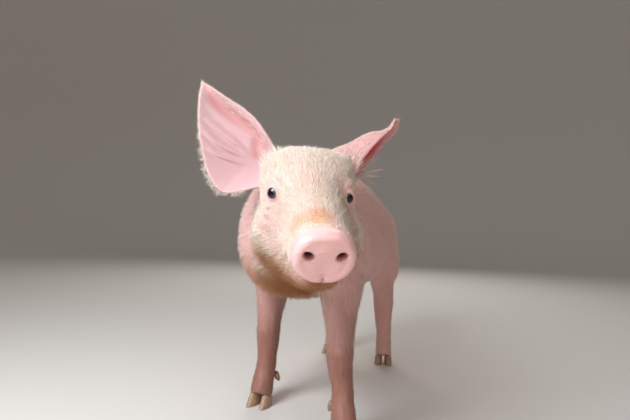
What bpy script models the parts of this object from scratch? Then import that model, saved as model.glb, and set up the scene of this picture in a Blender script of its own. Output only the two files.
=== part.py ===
"""Standing piglet, about six weeks old, life size, as a still museum model.

The flesh is modelled whole from lofted sections, then parted with thin cuts into named pieces.
Metres, +Z up, the floor at z = 0. The piglet faces -Y with its left side at +X, and its head is
turned to its left. Hooves, dewclaws, ears, eyes and tail are pieces of their own.
"""
import math

import bmesh
import bpy
import numpy as np
from mathutils import Matrix, Vector
from mathutils.bvhtree import BVHTree

# ---- driving sizes, metres and degrees ----
GAP = 0.0003                  # clearance between neighbouring pieces
CUT = 0.0004                  # thickness of the cuts that part the flesh
VOXEL = 0.0021                # grid of the blended flesh before it is thinned out
FLESH_FACES = 4600            # triangles kept on the flesh before it is parted
KEPT_SHARE = 0.66             # share of its triangles that a parted piece keeps
HEAD_YAW, HEAD_PITCH = 27.1, 28.6     # head turned left, muzzle lowered
EYE_MIDDLE = Vector((0.0548, -0.1056, 0.2472))   # halfway between the two eyes
HEAD_SIZE = 0.98              # size of the head against its stations below
MUZZLE_LENGTH = 0.1125        # from between the eyes to the face of the snout disc
EYE_RADIUS = 0.0088
EYE_AHEAD, EYE_SPREAD = 0.0050, 0.0308    # eye centre before the eye line, from the middle plane
NOSTRIL_SPREAD = 0.0112       # nostril centre from the middle plane
NOSTRIL_WIDE, NOSTRIL_HIGH, NOSTRIL_DEEP = 0.0036, 0.0027, 0.0085
EAR_THICK = 0.0026
CLAW_LONG, CLAW_WIDE, CLAW_HIGH = 0.0285, 0.0136, 0.0185
DEWCLAW_LONG, DEWCLAW_WIDE = 0.0120, 0.0084

# feet: name, x and y of the pastern above the claws, toe-out angle
FEET = {
    "fore_left": (0.0685, -0.026, 28.0),
    "fore_right": (-0.0480, 0.030, -3.0),
    "hind_left": (0.0580, 0.266, 10.0),
    "hind_right": (-0.0370, 0.290, -9.0),
}


def start_clean():
    for item in list(bpy.data.objects):
        bpy.data.objects.remove(item, do_unlink=True)
    parts = bpy.data.collections.new("piglet")
    cutters = bpy.data.collections.new("cutters")
    for collection in (parts, cutters):
        bpy.context.scene.collection.children.link(collection)
    return parts, cutters


PARTS, CUTTERS = start_clean()


# ---- materials ----
def principled(name, colour, roughness):
    material = bpy.data.materials.new(name)
    material.use_nodes = True
    shader = material.node_tree.nodes["Principled BSDF"]
    shader.inputs["Base Color"].default_value = (*colour, 1.0)
    shader.inputs["Roughness"].default_value = roughness
    shader.inputs["Metallic"].default_value = 0.0
    return material


SKIN = principled("pink_skin", (0.78, 0.47, 0.42), 0.62)
SNOUT = principled("bare_snout", (0.80, 0.36, 0.36), 0.45)
EAR = principled("ear_skin", (0.80, 0.43, 0.40), 0.6)
HORN = principled("hoof_horn", (0.42, 0.29, 0.20), 0.5)
EYE = principled("dark_eye", (0.02, 0.02, 0.035), 0.1)


# ---- mesh helpers ----
def smooth_rows(stations, steps):
    """Rows of numbers passed through smoothly, with steps rows from one station to the next."""
    rows = np.array(stations, float)
    padded = np.vstack([2 * rows[0] - rows[1], rows, 2 * rows[-1] - rows[-2]])
    out = []
    for i in range(1, len(padded) - 2):
        p0, p1, p2, p3 = padded[i - 1:i + 3]
        for k in range(steps):
            t = k / steps
            out.append(0.5 * (2 * p1 + (p2 - p0) * t + (2 * p0 - 5 * p1 + 4 * p2 - p3) * t * t
                              + (3 * p1 - p0 - 3 * p2 + p3) * t ** 3))
    out.append(rows[-1])
    return out


def section(wide, up, down, lean, square, count=32):
    """A rounded cross-section; lean widens its lower side, square over 2 makes it boxier."""
    points = []
    for i in range(count):
        angle = 2 * math.pi * i / count
        c, s = math.cos(angle), math.sin(angle)
        x = math.copysign(abs(c) ** (2 / square), c) * wide * (1 - lean * s)
        y = math.copysign(abs(s) ** (2 / square), s) * (up if s > 0 else down)
        points.append((x, y))
    return points


def loft(name, rings, collection=None):
    """A closed solid through rings of points, with flat ends."""
    shape = bmesh.new()
    loops = [[shape.verts.new(p) for p in ring] for ring in rings]
    for low, high in zip(loops, loops[1:]):
        for i in range(len(low)):
            j = (i + 1) % len(low)
            shape.faces.new((low[i], low[j], high[j], high[i]))
    shape.faces.new(loops[0])
    shape.faces.new(loops[-1])
    bmesh.ops.recalc_face_normals(shape, faces=shape.faces)
    return from_bmesh(name, shape, collection)


def from_bmesh(name, shape, collection=None):
    mesh = bpy.data.meshes.new(name)
    shape.to_mesh(mesh)
    shape.free()
    item = bpy.data.objects.new(name, mesh)
    (collection or CUTTERS).objects.link(item)
    if collection is None:
        item.hide_render = True
        item.display_type = "WIRE"
    return item


def baked(item):
    """The object with its modifiers applied, as a mesh of its own."""
    graph = bpy.context.evaluated_depsgraph_get()
    mesh = bpy.data.meshes.new_from_object(item.evaluated_get(graph))
    item.modifiers.clear()
    item.data = mesh
    return item


def joined(name, items):
    shape = bmesh.new()
    for item in items:
        shape.from_mesh(item.data)
        bpy.data.objects.remove(item, do_unlink=True)
    return from_bmesh(name, shape)


def boolean(item, other, operation="DIFFERENCE"):
    cut = item.modifiers.new("cut", "BOOLEAN")
    cut.operation, cut.object, cut.solver = operation, other, "EXACT"
    cut.use_self = item.name == "ear_left"    # rolled so tightly that it touches itself at its root
    return baked(item)


def cleaned(item):
    """Merges the crumbs that a cut leaves, and turns the faces outwards."""
    shape = bmesh.new()
    shape.from_mesh(item.data)
    bmesh.ops.remove_doubles(shape, verts=shape.verts, dist=0.00003)
    bmesh.ops.dissolve_degenerate(shape, edges=shape.edges, dist=0.00002)
    bmesh.ops.triangulate(shape, faces=shape.faces)
    bmesh.ops.recalc_face_normals(shape, faces=shape.faces)
    if shape.calc_volume(signed=True) < 0:
        bmesh.ops.reverse_faces(shape, faces=shape.faces)
    shape.to_mesh(item.data)
    shape.free()
    return item


# ---- head frame: forward along the muzzle, to the piglet's left, and up out of the forehead ----
def head_axes():
    yaw, pitch = math.radians(HEAD_YAW), math.radians(HEAD_PITCH)
    forward = Vector((math.sin(yaw) * math.cos(pitch), -math.cos(yaw) * math.cos(pitch), -math.sin(pitch)))
    left = Vector((math.cos(yaw), math.sin(yaw), 0.0))
    return forward, left, forward.cross(left)


FORWARD, LEFT, UP = head_axes()


def head_point(forward, left, up):
    return EYE_MIDDLE + (FORWARD * forward + LEFT * left + UP * up) * HEAD_SIZE


def head_loft(name, stations, steps=3):
    """Stations: forward, top, bottom, half width, lean, square."""
    rings = []
    for d, top, bottom, wide, lean, square in smooth_rows(stations, steps):
        middle, half = (top + bottom) / 2, (top - bottom) / 2
        ring = section(wide, half, half, lean, square)
        rings.append([head_point(d, x, middle + y) for x, y in ring])
    return loft(name, rings)


def cranium():
    """Forehead, face and upper muzzle, out to the rim of the snout disc."""
    return head_loft("cranium", [
        (-0.082, 0.0085, -0.058, 0.034, 0.00, 2.4),
        (-0.064, 0.0235, -0.066, 0.0420, -0.05, 3.0),
        (-0.040, 0.0305, -0.068, 0.0455, -0.04, 3.2),
        (-0.016, 0.0312, -0.068, 0.0455, 0.01, 2.8),
        (0.000, 0.0287, -0.066, 0.0423, 0.07, 2.5),
        (0.014, 0.0250, -0.062, 0.0390, 0.12, 2.2),
        (0.029, 0.0207, -0.057, 0.0355, 0.16, 2.1),
        (0.049, 0.0178, -0.048, 0.0314, 0.17, 2.1),
        (0.070, 0.0168, -0.038, 0.0277, 0.14, 2.1),
        (0.087, 0.0174, -0.0290, 0.0248, 0.08, 2.1),
        (0.0985, 0.0182, -0.0244, 0.0231, 0.0, 2.1),
        (0.1055, 0.0192, -0.0240, 0.0237, -0.02, 2.1),
        (0.1100, 0.0186, -0.0230, 0.0233, -0.02, 2.1),
        (0.1125, 0.0164, -0.0206, 0.0210, -0.02, 2.1),
    ])


def ear_root(side):
    """Muscle and fat that run from the crown into the front of an ear."""
    return ball("ear_root", head_point(-0.045, side * 0.034, 0.008 - side * 0.003), 0.0130)


def jaw():
    """Lower jaw with the full cheeks and the throat."""
    return head_loft("jaw", [
        (0.095, -0.0290, -0.0370, 0.0110, 0.0, 2.0),
        (0.090, -0.0250, -0.0425, 0.0155, 0.0, 2.1),
        (0.077, -0.0200, -0.0510, 0.0212, 0.0, 2.1),
        (0.056, -0.0140, -0.0620, 0.0295, -0.03, 2.1),
        (0.034, -0.0090, -0.0730, 0.0392, -0.05, 2.1),
        (0.012, -0.0060, -0.0815, 0.0470, -0.07, 2.2),
        (-0.014, -0.0050, -0.0860, 0.0495, -0.10, 2.2),
        (-0.040, -0.0050, -0.0850, 0.0490, -0.10, 2.2),
        (-0.066, -0.0100, -0.0780, 0.0430, -0.05, 2.1),
    ])


def neck():
    """Short thick neck, from inside the head to inside the shoulders."""
    stations = [
        # centre x, y, z, half width, half height, back tilt
        (0.0370, -0.070, 0.2390, 0.042, 0.053, 30.0),
        (0.0280, -0.048, 0.2340, 0.050, 0.062, 22.0),
        (0.0150, -0.022, 0.2260, 0.062, 0.071, 12.0),
        (0.0040, 0.006, 0.2210, 0.069, 0.077, 5.0),
        (0.0000, 0.035, 0.2200, 0.068, 0.078, 0.0),
    ]
    rings = []
    for x, y, z, wide, high, tilt in smooth_rows(stations, 3):
        turn = math.radians(HEAD_YAW * 0.7 * tilt / 30.0)
        back = math.radians(tilt)
        side = Vector((math.cos(turn), math.sin(turn), 0.0))
        rise = Vector((0.0, math.sin(back) * 0.6, 1.0)).normalized()
        rings.append([Vector((x, y, z)) + side * a + rise * b for a, b in section(wide, high, high, 0.05, 2.1)])
    return loft("neck", rings)


def trunk():
    """Stations: y, top, bottom, half width, lean, square."""
    stations = [
        (-0.058, 0.225, 0.170, 0.024, 0.0, 2.0),
        (-0.046, 0.255, 0.151, 0.046, 0.0, 2.1),
        (-0.022, 0.283, 0.139, 0.0655, 0.04, 2.2),
        (0.008, 0.297, 0.135, 0.0745, 0.06, 2.2),
        (0.050, 0.303, 0.132, 0.0725, 0.08, 2.2),
        (0.100, 0.306, 0.128, 0.0735, 0.12, 2.2),
        (0.150, 0.309, 0.126, 0.0750, 0.18, 2.1),
        (0.200, 0.311, 0.128, 0.0740, 0.24, 2.05),
        (0.245, 0.310, 0.137, 0.0725, 0.26, 2.0),
        (0.285, 0.302, 0.152, 0.0665, 0.24, 2.0),
        (0.312, 0.288, 0.170, 0.0560, 0.18, 2.0),
        (0.330, 0.268, 0.192, 0.0400, 0.10, 2.0),
        (0.337, 0.252, 0.208, 0.0220, 0.0, 2.0),
    ]
    rings = []
    for y, top, bottom, wide, lean, square in smooth_rows(stations, 2):
        middle, half = (top + bottom) / 2, (top - bottom) / 2
        rings.append([Vector((x, y, middle + z)) for x, z in section(wide, half, half, lean, square)])
    return loft("trunk", rings)


def turned(x, y, angle):
    """Plan offset turned by the toe-out angle; angle over 0 turns the toes to the left (+X)."""
    c, s = math.cos(angle), math.sin(angle)
    return x * c - y * s, x * s + y * c


def limb(name, foot, stations, steps=3):
    """Stations: z, x offset towards the left, y offset, half width, half depth ahead, half depth behind."""
    fx, fy, toe = FEET[foot]
    rings = []
    for z, ox, oy, wide, ahead, behind in smooth_rows(stations, steps):
        angle = math.radians(toe) * max(0.0, min(1.0, 1.5 - z / 0.06))
        ring = []
        for a, b in section(wide, behind, ahead, 0.0, 2.1, 24):
            px, py = turned(a, b + oy, angle)
            ring.append(Vector((fx + ox + px, fy + py, z)))
        rings.append(ring)
    return loft(name, rings)


def fore_leg(foot, side, lean_in):
    """side is +1 on the left; lean_in shifts the top of the leg towards the body's middle."""
    return limb(foot, foot, [
        (0.232, side * 0.008 - lean_in, 0.022, 0.0180, 0.036, 0.034),
        (0.204, side * 0.006 - lean_in, 0.018, 0.0245, 0.043, 0.040),
        (0.176, side * 0.005 - lean_in, 0.014, 0.0265, 0.040, 0.040),
        (0.150, side * 0.002 - lean_in * 0.8, 0.011, 0.0235, 0.0310, 0.0330),
        (0.128, side * 0.0006 - lean_in * 0.6, 0.007, 0.0186, 0.0245, 0.0275),
        (0.108, -lean_in * 0.4, 0.003, 0.0155, 0.0195, 0.0210),
        (0.092, -lean_in * 0.35, 0.001, 0.0150, 0.0178, 0.0182),
        (0.076, -lean_in * 0.35, 0.001, 0.0141, 0.0150, 0.0162),
        (0.062, -lean_in * 0.2, 0.002, 0.0127, 0.0132, 0.0144),
        (0.050, 0.0, 0.002, 0.0119, 0.0134, 0.0146),
        (0.040, 0.0, 0.000, 0.0125, 0.0146, 0.0154),
        (0.030, 0.0, -0.005, 0.0132, 0.0146, 0.0148),
        (0.018, 0.0, -0.009, 0.0134, 0.0150, 0.0142),
        (0.008, 0.0, -0.011, 0.0130, 0.0150, 0.0130),
    ])


def hind_leg(foot, side, lean_in):
    """Ham, stifle, gaskin, hock set back, upright cannon and pastern."""
    return limb(foot, foot, [
        (0.262, -lean_in - side * 0.005, -0.002, 0.0165, 0.030, 0.026),
        (0.232, -lean_in + side * 0.001, -0.002, 0.0250, 0.046, 0.042),
        (0.200, -lean_in + side * 0.001, -0.003, 0.0285, 0.055, 0.050),
        (0.174, -lean_in + side * 0.004, -0.004, 0.0292, 0.052, 0.048),
        (0.152, -lean_in * 0.8 + side * 0.004, 0.002, 0.0265, 0.040, 0.038),
        (0.132, -lean_in * 0.7, 0.011, 0.0210, 0.0275, 0.0290),
        (0.112, -lean_in * 0.6, 0.019, 0.0180, 0.0190, 0.0225),
        (0.097, -lean_in * 0.5, 0.019, 0.0176, 0.0170, 0.0200),
        (0.081, -lean_in * 0.4, 0.014, 0.0158, 0.0152, 0.0168),
        (0.063, -lean_in * 0.2, 0.009, 0.0140, 0.0142, 0.0150),
        (0.049, 0.0, 0.006, 0.0128, 0.0140, 0.0148),
        (0.039, 0.0, 0.002, 0.0128, 0.0146, 0.0152),
        (0.029, 0.0, -0.004, 0.0132, 0.0146, 0.0148),
        (0.018, 0.0, -0.008, 0.0134, 0.0150, 0.0142),
        (0.008, 0.0, -0.010, 0.0130, 0.0150, 0.0130),
    ])


# ---- hooves ----
def claw_outline(height, side, grow=0.0):
    """One claw's plan at a height: blunt heel, rounded outside, flatter inside, pointed toe."""
    slope = height / math.tan(math.radians(56.0))
    front = -CLAW_LONG * 0.56 + slope
    back = CLAW_LONG * 0.44 + height * 0.10
    middle, half = (front + back) / 2, (back - front) / 2 + grow
    wide = CLAW_WIDE / 2 * (1.0 - 0.10 * height / CLAW_HIGH) + grow
    points = []
    for i in range(14):
        angle = 2 * math.pi * i / 14
        c, s = math.cos(angle), math.sin(angle)
        y = half * math.copysign(abs(s) ** 0.85, s)
        x = wide * math.copysign(abs(c) ** 0.8, c)
        if y < 0:
            x *= 1.0 - 0.34 * (abs(y) / half) ** 2.4
        if x * side < 0:
            x *= 0.80
        points.append((x + side * 0.0012 * abs(min(y, 0.0)) / half, y + middle))
    return points


def claw_rings(foot, side, heights, grow=0.0):
    fx, fy, toe = FEET[foot]
    rings = []
    for z in heights:
        ring = []
        for x, y in claw_outline(z, side, grow):
            px, py = turned(x + side * (CLAW_WIDE / 2 + 0.0004), y, math.radians(side * 3.0))
            px, py = turned(px, py - 0.011, math.radians(toe))
            ring.append(Vector((fx + px, fy + py, z)))
        rings.append(ring)
    return rings


def coronet(foot):
    """The slanting plane where skin meets horn: a point on it and its normal."""
    fx, fy, toe = FEET[foot]
    nx, ny = turned(0.0, 0.34, math.radians(toe))
    px, py = turned(0.0, -0.011, math.radians(toe))
    return Vector((fx + px, fy + py, CLAW_HIGH * 0.70)), Vector((nx, ny, 0.94)).normalized()


def claw(foot, side):
    item = loft("claw", claw_rings(foot, side, [0.0, 0.0040, 0.0110, 0.0220]))
    point, normal = coronet(foot)
    shape = bmesh.new()
    shape.from_mesh(item.data)
    bpy.data.objects.remove(item, do_unlink=True)
    every = list(shape.verts) + list(shape.edges) + list(shape.faces)
    cut = bmesh.ops.bisect_plane(shape, geom=every, plane_co=point, plane_no=normal, clear_outer=True)
    rim = [e for e in cut["geom_cut"] if isinstance(e, bmesh.types.BMEdge)]
    bmesh.ops.edgeloop_fill(shape, edges=rim)
    return cleaned(from_bmesh("claw", shape, PARTS))


def toe(foot, side):
    """Flesh of one toe above its claw, leaving a cleft between the two."""
    return loft("toe", claw_rings(foot, side, [0.006, 0.012, 0.018, 0.024, 0.030, 0.036], 0.0004))


def dewclaw(foot, side):
    """Small horn cone behind the pastern, pointing down and back."""
    fx, fy, toe_out = FEET[foot]
    back = 0.0135 if foot.startswith("fore") else 0.0150
    rings = []
    for k in range(5):
        t = k / 4
        size = DEWCLAW_WIDE / 2 * math.sqrt(max(0.05, 1.0 - (1.25 * t - 0.30) ** 2))
        ring = []
        for i in range(7):
            angle = 2 * math.pi * i / 7
            x = side * (0.0088 + 0.0018 * t) + size * math.cos(angle)
            y = back - 0.004 + 0.0078 * t + size * math.sin(angle) * 0.80
            px, py = turned(x, y, math.radians(toe_out))
            ring.append(Vector((fx + px, fy + py, 0.0345 - DEWCLAW_LONG * t + size * math.sin(angle) * 0.5)))
        rings.append(ring)
    return loft("dewclaw", rings, PARTS)


# ---- eyes and nostrils ----
def eye_centre(side):
    return head_point(EYE_AHEAD, side * EYE_SPREAD, 0.001)


def ball(name, centre, radius, collection=None, fine=14):
    shape = bmesh.new()
    bmesh.ops.create_uvsphere(shape, u_segments=fine, v_segments=fine // 2 + 2, radius=radius)
    bmesh.ops.translate(shape, verts=shape.verts, vec=centre)
    return from_bmesh(name, shape, collection)


def nostril(side):
    """A round-ended hole that runs back and slightly outwards into the disc."""
    shape = bmesh.new()
    bmesh.ops.create_uvsphere(shape, u_segments=12, v_segments=8, radius=1.0)
    frame = Matrix((LEFT, UP, FORWARD)).transposed()
    for vert in shape.verts:
        x, y, z = vert.co
        turn = side * 0.5
        a = x * NOSTRIL_WIDE * math.cos(turn) - y * NOSTRIL_HIGH * math.sin(turn)
        b = x * NOSTRIL_WIDE * math.sin(turn) + y * NOSTRIL_HIGH * math.cos(turn)
        vert.co = frame @ Vector((a, b, z * NOSTRIL_DEEP)) + head_point(
            MUZZLE_LENGTH, side * NOSTRIL_SPREAD, 0.0018 + side * 0.0006)
    return from_bmesh("nostril", shape)


# ---- ears ----
def ear(name, inner, outer, depths, fold, roll, opening):
    """A curved leaf with thickness. inner and outer list its two edges from the base to the tip, in
    millimetres in the head's frame (forward, left, up). depths are how far each row bows away from
    its opening, fold under 1 moves the bow towards the inner edge, and roll of 1 makes it a half
    pipe. opening is the side that the ear opens to."""
    columns, steps = 8, 2
    table = smooth_rows([(*a, *b, deep) for a, b, deep in zip(inner, outer, depths)], steps)
    starts = [head_point(*(row[0:3] / 1000)) for row in table]
    ends = [head_point(*(row[3:6] / 1000)) for row in table]
    shape = bmesh.new()
    grid = []
    for i, row in enumerate(table):
        low, high = max(i - 1, 0), min(i + 1, len(table) - 1)
        along = (starts[high] + ends[high] - starts[low] - ends[low]).normalized()
        chord = ends[i] - starts[i]
        if i == len(table) - 1:
            chord = ends[i - 1] - starts[i - 1]
        bow = along.cross(chord).normalized()
        if bow.dot(opening) > 0:
            bow = -bow
        line = []
        for j in range(columns + 1):
            v = j / columns
            share = v + ((1 - math.cos(math.pi * v)) / 2 - v) * roll
            place = starts[i].lerp(ends[i], share)
            line.append(shape.verts.new(place + bow * (row[6] / 1000 * math.sin(math.pi * v ** fold))))
        grid.append(line)
    for low, high in zip(grid, grid[1:]):
        for j in range(columns):
            shape.faces.new((low[j], low[j + 1], high[j + 1], high[j]))
    item = from_bmesh(name, shape, PARTS)
    wall = item.modifiers.new("thickness", "SOLIDIFY")
    wall.thickness, wall.offset = EAR_THICK, 0.0
    return cleaned(baked(item))


def right_ear():
    """Pricked, a broad leaf that opens forwards, its fold close to the inner edge."""
    return ear(
        "ear_right",
        [(-54, -24, 13), (-66, -35, 25), (-72, -43, 36), (-79, -54, 48), (-86, -67, 56),
         (-93, -82, 63), (-100, -97, 70), (-106, -109, 76)],
        [(-26, -38, -2), (-25, -60, -10), (-28, -83, -15), (-42, -98, -2), (-62, -107, 19),
         (-80, -112, 40), (-95, -113, 60), (-107, -111, 77)],
        (16, 19, 18, 16, 13, 9.5, 5, 0.5), 0.55, 0.15, FORWARD)


def left_ear():
    """Turned back and rolled, opening to the side and down, with its tip flicked up."""
    return ear(
        "ear_left",
        [(-26, 36, 0), (-33, 47, 6), (-44, 53, 13), (-55, 60, 20), (-66, 69, 27),
         (-76, 79, 33), (-87, 88, 38), (-98, 98, 43), (-106, 102, 52)],
        [(-50, 38, -11), (-61, 53, -7), (-75, 67, 3), (-86, 79, 12), (-94, 88, 22),
         (-99, 96, 29), (-102, 102, 34), (-107, 106, 40), (-111, 109, 50)],
        (32, 38, 37, 30, 22, 16, 11, 6, 2.5), 1.0, 1.0, LEFT * 0.8 - UP * 0.6 + FORWARD * 0.2)


# ---- tail ----
def tail():
    """Slim tail that leaves the rump, drops and ends in a loose curl."""
    rings = []
    count = 18
    points = []
    for i in range(count + 1):
        t = i / count
        drop = 0.052 * t
        curl = 2 * math.pi * 0.95 * max(0.0, t - 0.22) / 0.78
        size = 0.011 * min(1.0, t * 2.2)
        points.append(Vector((
            0.004 + size * math.sin(curl),
            0.322 + 0.034 * math.sin(min(1.0, t * 1.6) * math.pi / 2) + size * 0.55 * (1 - math.cos(curl)) * 0.6,
            0.272 - drop + 0.006 * math.sin(curl * 0.5))))
    for i, point in enumerate(points):
        t = i / count
        ahead = (points[min(i + 1, count)] - points[max(i - 1, 0)]).normalized()
        side = ahead.cross(Vector((0.3, 1.0, 0.2))).normalized()
        rise = side.cross(ahead)
        radius = 0.0062 * (1 - t) + 0.0022 * t
        if i == count:
            radius *= 0.5
        rings.append([point + side * radius * math.cos(a) + rise * radius * math.sin(a)
                      for a in (2 * math.pi * k / 7 for k in range(7))])
    return loft("tail", rings, PARTS)


# ---- blend the flesh ----
def blended(items):
    """One smooth skin round all the lofts."""
    flesh = joined("flesh", items)
    grid = flesh.modifiers.new("blend", "REMESH")
    grid.mode, grid.voxel_size = "VOXEL", VOXEL
    baked(flesh)
    soften = flesh.modifiers.new("soften", "SMOOTH")
    soften.factor, soften.iterations = 0.5, 7
    return baked(flesh)


def bump(point, centre, reach):
    """1 at the centre of a soft round patch, 0 past its reach."""
    distance = (point - centre).length / reach
    return (1 - distance * distance) ** 2 if distance < 1 else 0.0


def sculpt(flesh):
    """Brows, eye hollows, cheeks, the mouth line, joints of the legs and the spine's soft furrow."""
    mesh = flesh.data
    normals = [v.normal.copy() for v in mesh.vertices]
    spots = []
    for side in (1, -1):
        eye = eye_centre(side)
        spots += [
            (eye + LEFT * side * 0.006 + UP * 0.013 - FORWARD * 0.002, 0.017, 0.0028),
            (eye + LEFT * side * 0.010 - UP * 0.013 + FORWARD * 0.004, 0.016, 0.0012),
            (eye + LEFT * side * 0.002 + FORWARD * 0.019, 0.016, -0.0028),
            (head_point(0.006, side * 0.050, -0.046), 0.034, 0.0030),
            (head_point(0.048, side * 0.036, -0.030), 0.022, 0.0016),
            (head_point(0.066, side * 0.028, 0.006), 0.018, -0.0010),
        ]
    spots += [
        (head_point(0.030, 0.0, 0.024), 0.030, -0.0012),
        (head_point(-0.030, 0.0, 0.036), 0.030, 0.0010),
        (head_point(0.1120, 0.0, -0.0200), 0.0055, -0.0016),
        (head_point(0.1130, 0.0, -0.0060), 0.0120, -0.0007),
    ]
    spots = [(c, r, h) for c, r, h in spots]
    for vert, normal in zip(mesh.vertices, normals):
        shift = 0.0
        for centre, reach, height in spots:
            shift += height * bump(vert.co, centre, reach)
        if shift:
            vert.co += normal * shift
    return flesh


def thinned(flesh):
    """Fewer triangles on the trunk, more on the head and the feet."""
    group = flesh.vertex_groups.new(name="plain")
    for vert in flesh.data.vertices:
        p = vert.co
        near_head = (p - head_point(0.035, 0.0, -0.02)).length < 0.118
        weight = 0.30 if near_head else (0.50 if p.z < 0.115 else 1.0)
        group.add([vert.index], weight, "REPLACE")
    faces = sum(len(f.vertices) - 2 for f in flesh.data.polygons)
    thin = flesh.modifiers.new("thin", "DECIMATE")
    thin.ratio = FLESH_FACES / faces
    thin.vertex_group, thin.vertex_group_factor = "plain", 0.012
    baked(flesh)
    flesh.vertex_groups.clear()
    return cleaned(flesh)


# ---- cuts ----
def slab(centre, normal, radius, radius2=None):
    """A thin round cutter across a limb or the neck."""
    shape = bmesh.new()
    bmesh.ops.create_cone(shape, cap_ends=True, segments=20, radius1=1.0, radius2=1.0, depth=CUT)
    turn = normal.normalized().to_track_quat("Z", "Y").to_matrix().to_4x4()
    stretch = Matrix.Diagonal((radius, radius2 or radius, 1.0, 1.0))
    bmesh.ops.transform(shape, matrix=Matrix.Translation(centre) @ turn @ stretch, verts=shape.verts)
    return from_bmesh("slab", shape)


def thimble(x, y, low, high, wide, deep, tilt=0.0):
    """A thin-walled dome, open below, that frees the top of a leg from the trunk."""
    rings = []
    straight = low + (high - low) * 0.45
    for k in range(5):
        angle = k / 4 * math.pi / 2
        size = max(math.cos(angle), 0.02)
        z = straight + (high - straight) * math.sin(angle)
        rings.append((z, size))
    rings.insert(0, (low, 1.0))
    shape = bmesh.new()
    loops = []
    for z, size in rings:
        loops.append([shape.verts.new((
            x + tilt * (z - low) + wide * size * math.cos(2 * math.pi * i / 18),
            y + deep * size * math.sin(2 * math.pi * i / 18), z)) for i in range(18)])
    for a, b in zip(loops, loops[1:]):
        for i in range(18):
            shape.faces.new((a[i], a[(i + 1) % 18], b[(i + 1) % 18], b[i]))
    shape.faces.new(loops[-1])
    item = from_bmesh("thimble", shape)
    wall = item.modifiers.new("wall", "SOLIDIFY")
    wall.thickness, wall.offset = CUT, 0.0
    return baked(item)


def jaw_cut():
    """A bent sheet: along the mouth line, then down behind the corner of the mouth."""
    line = [(0.120, -0.0265), (0.099, -0.0265), (0.076, -0.0340), (0.057, -0.0410),
            (0.040, -0.0465), (0.032, -0.0505), (0.028, -0.0580), (0.024, -0.1000)]
    shape = bmesh.new()
    rows = [[shape.verts.new(head_point(d, side * 0.075, u)) for side in (-1, 1)] for d, u in line]
    for a, b in zip(rows, rows[1:]):
        shape.faces.new((a[0], a[1], b[1], b[0]))
    item = from_bmesh("jaw_cut", shape)
    wall = item.modifiers.new("wall", "SOLIDIFY")
    wall.thickness, wall.offset = CUT, 0.0
    return baked(item)


def sole_trim(foot):
    """Takes the flesh away below the slanting coronet plane, with the gap to the horn."""
    point, normal = coronet(foot)
    shape = bmesh.new()
    bmesh.ops.create_cube(shape, size=1.0)
    turn = normal.to_track_quat("Z", "Y").to_matrix().to_4x4()
    deep = 0.04
    move = Matrix.Translation(point + normal * (GAP - deep / 2)) @ turn @ Matrix.Diagonal((0.08, 0.08, deep, 1.0))
    bmesh.ops.transform(shape, matrix=move, verts=shape.verts)
    return from_bmesh("sole_trim", shape)


def flat_cuts():
    """Centre, normal and radius of each flat cut: snout, head, neck, knees and hocks."""
    cuts = [
        (head_point(0.0980, 0.0, 0.0), FORWARD, 0.033),
        (Vector((0.0245, -0.0500, 0.228)), Vector((0.32, -0.90, -0.22)), 0.105),
        (Vector((0.0050, -0.0060, 0.230)), Vector((0.10, -0.94, -0.62)), 0.12),
    ]
    for foot, (fx, fy, _) in FEET.items():
        if foot.startswith("fore"):
            cuts.append((Vector((fx, fy, 0.090)), Vector((0, 0, 1)), 0.032))
        else:
            cuts.append((Vector((fx, fy + 0.018, 0.103)), Vector((0, 0.45, 1)), 0.040))
    return cuts


def lighter(piece, surface):
    """Thins a parted piece, but leaves the curved walls of its cuts and sockets untouched."""
    planes = flat_cuts() + [(*coronet(foot), 0.03) for foot in FEET]
    guarded = set()
    for face in piece.data.polygons:
        middle = face.center
        if surface.find_nearest(middle)[3] < 0.0001:
            continue
        if any(abs((middle - c).dot(n.normalized())) < 0.0005 and (middle - c).length < r for c, n, r in planes):
            continue
        guarded.update(face.vertices)
    group = piece.vertex_groups.new(name="free")
    group.add([v.index for v in piece.data.vertices if v.index not in guarded], 1.0, "REPLACE")
    thin = piece.modifiers.new("thin", "DECIMATE")
    thin.ratio, thin.vertex_group, thin.vertex_group_factor = KEPT_SHARE, "free", 0.01
    baked(piece)
    piece.vertex_groups.clear()
    return cleaned(piece)


def named_islands(flesh, seeds):
    """Splits the cut flesh into loose bodies and names each by the seed point nearest to its middle."""
    shape = bmesh.new()
    shape.from_mesh(flesh.data)
    shape.faces.ensure_lookup_table()
    seen, bodies = set(), []
    for face in shape.faces:
        if face.index in seen:
            continue
        stack, body = [face], []
        seen.add(face.index)
        while stack:
            one = stack.pop()
            body.append(one)
            for edge in one.edges:
                for other in edge.link_faces:
                    if other.index not in seen:
                        seen.add(other.index)
                        stack.append(other)
        bodies.append(body)
    bodies.sort(key=len, reverse=True)
    pieces = {}
    for body in bodies[:len(seeds)]:
        verts = {v for f in body for v in f.verts}
        low = Vector([min(v.co[k] for v in verts) for k in range(3)])
        high = Vector([max(v.co[k] for v in verts) for k in range(3)])
        middle = (low + high) / 2
        name = min((n for n in seeds if n not in pieces), key=lambda n: (seeds[n][0] - middle).length)
        copy = bmesh.new()
        table = {v: copy.verts.new(v.co) for v in sorted(verts, key=lambda v: v.index)}
        for face in body:
            corners = [table[v] for v in face.verts]
            if not copy.faces.get(corners):
                copy.faces.new(corners)
        pieces[name] = item = cleaned(from_bmesh(name, copy, PARTS))
        item.data.materials.append(seeds[name][1])
    for body in bodies[len(seeds):]:
        print("crumb left out:", len(body), "faces")
    shape.free()
    bpy.data.objects.remove(flesh, do_unlink=True)
    return pieces


def inflated(flesh, amount):
    copy = bpy.data.objects.new("inflated", flesh.data.copy())
    CUTTERS.objects.link(copy)
    for vert in copy.data.vertices:
        vert.co += vert.normal * amount
    copy.hide_render, copy.display_type = True, "WIRE"
    return copy


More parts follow.
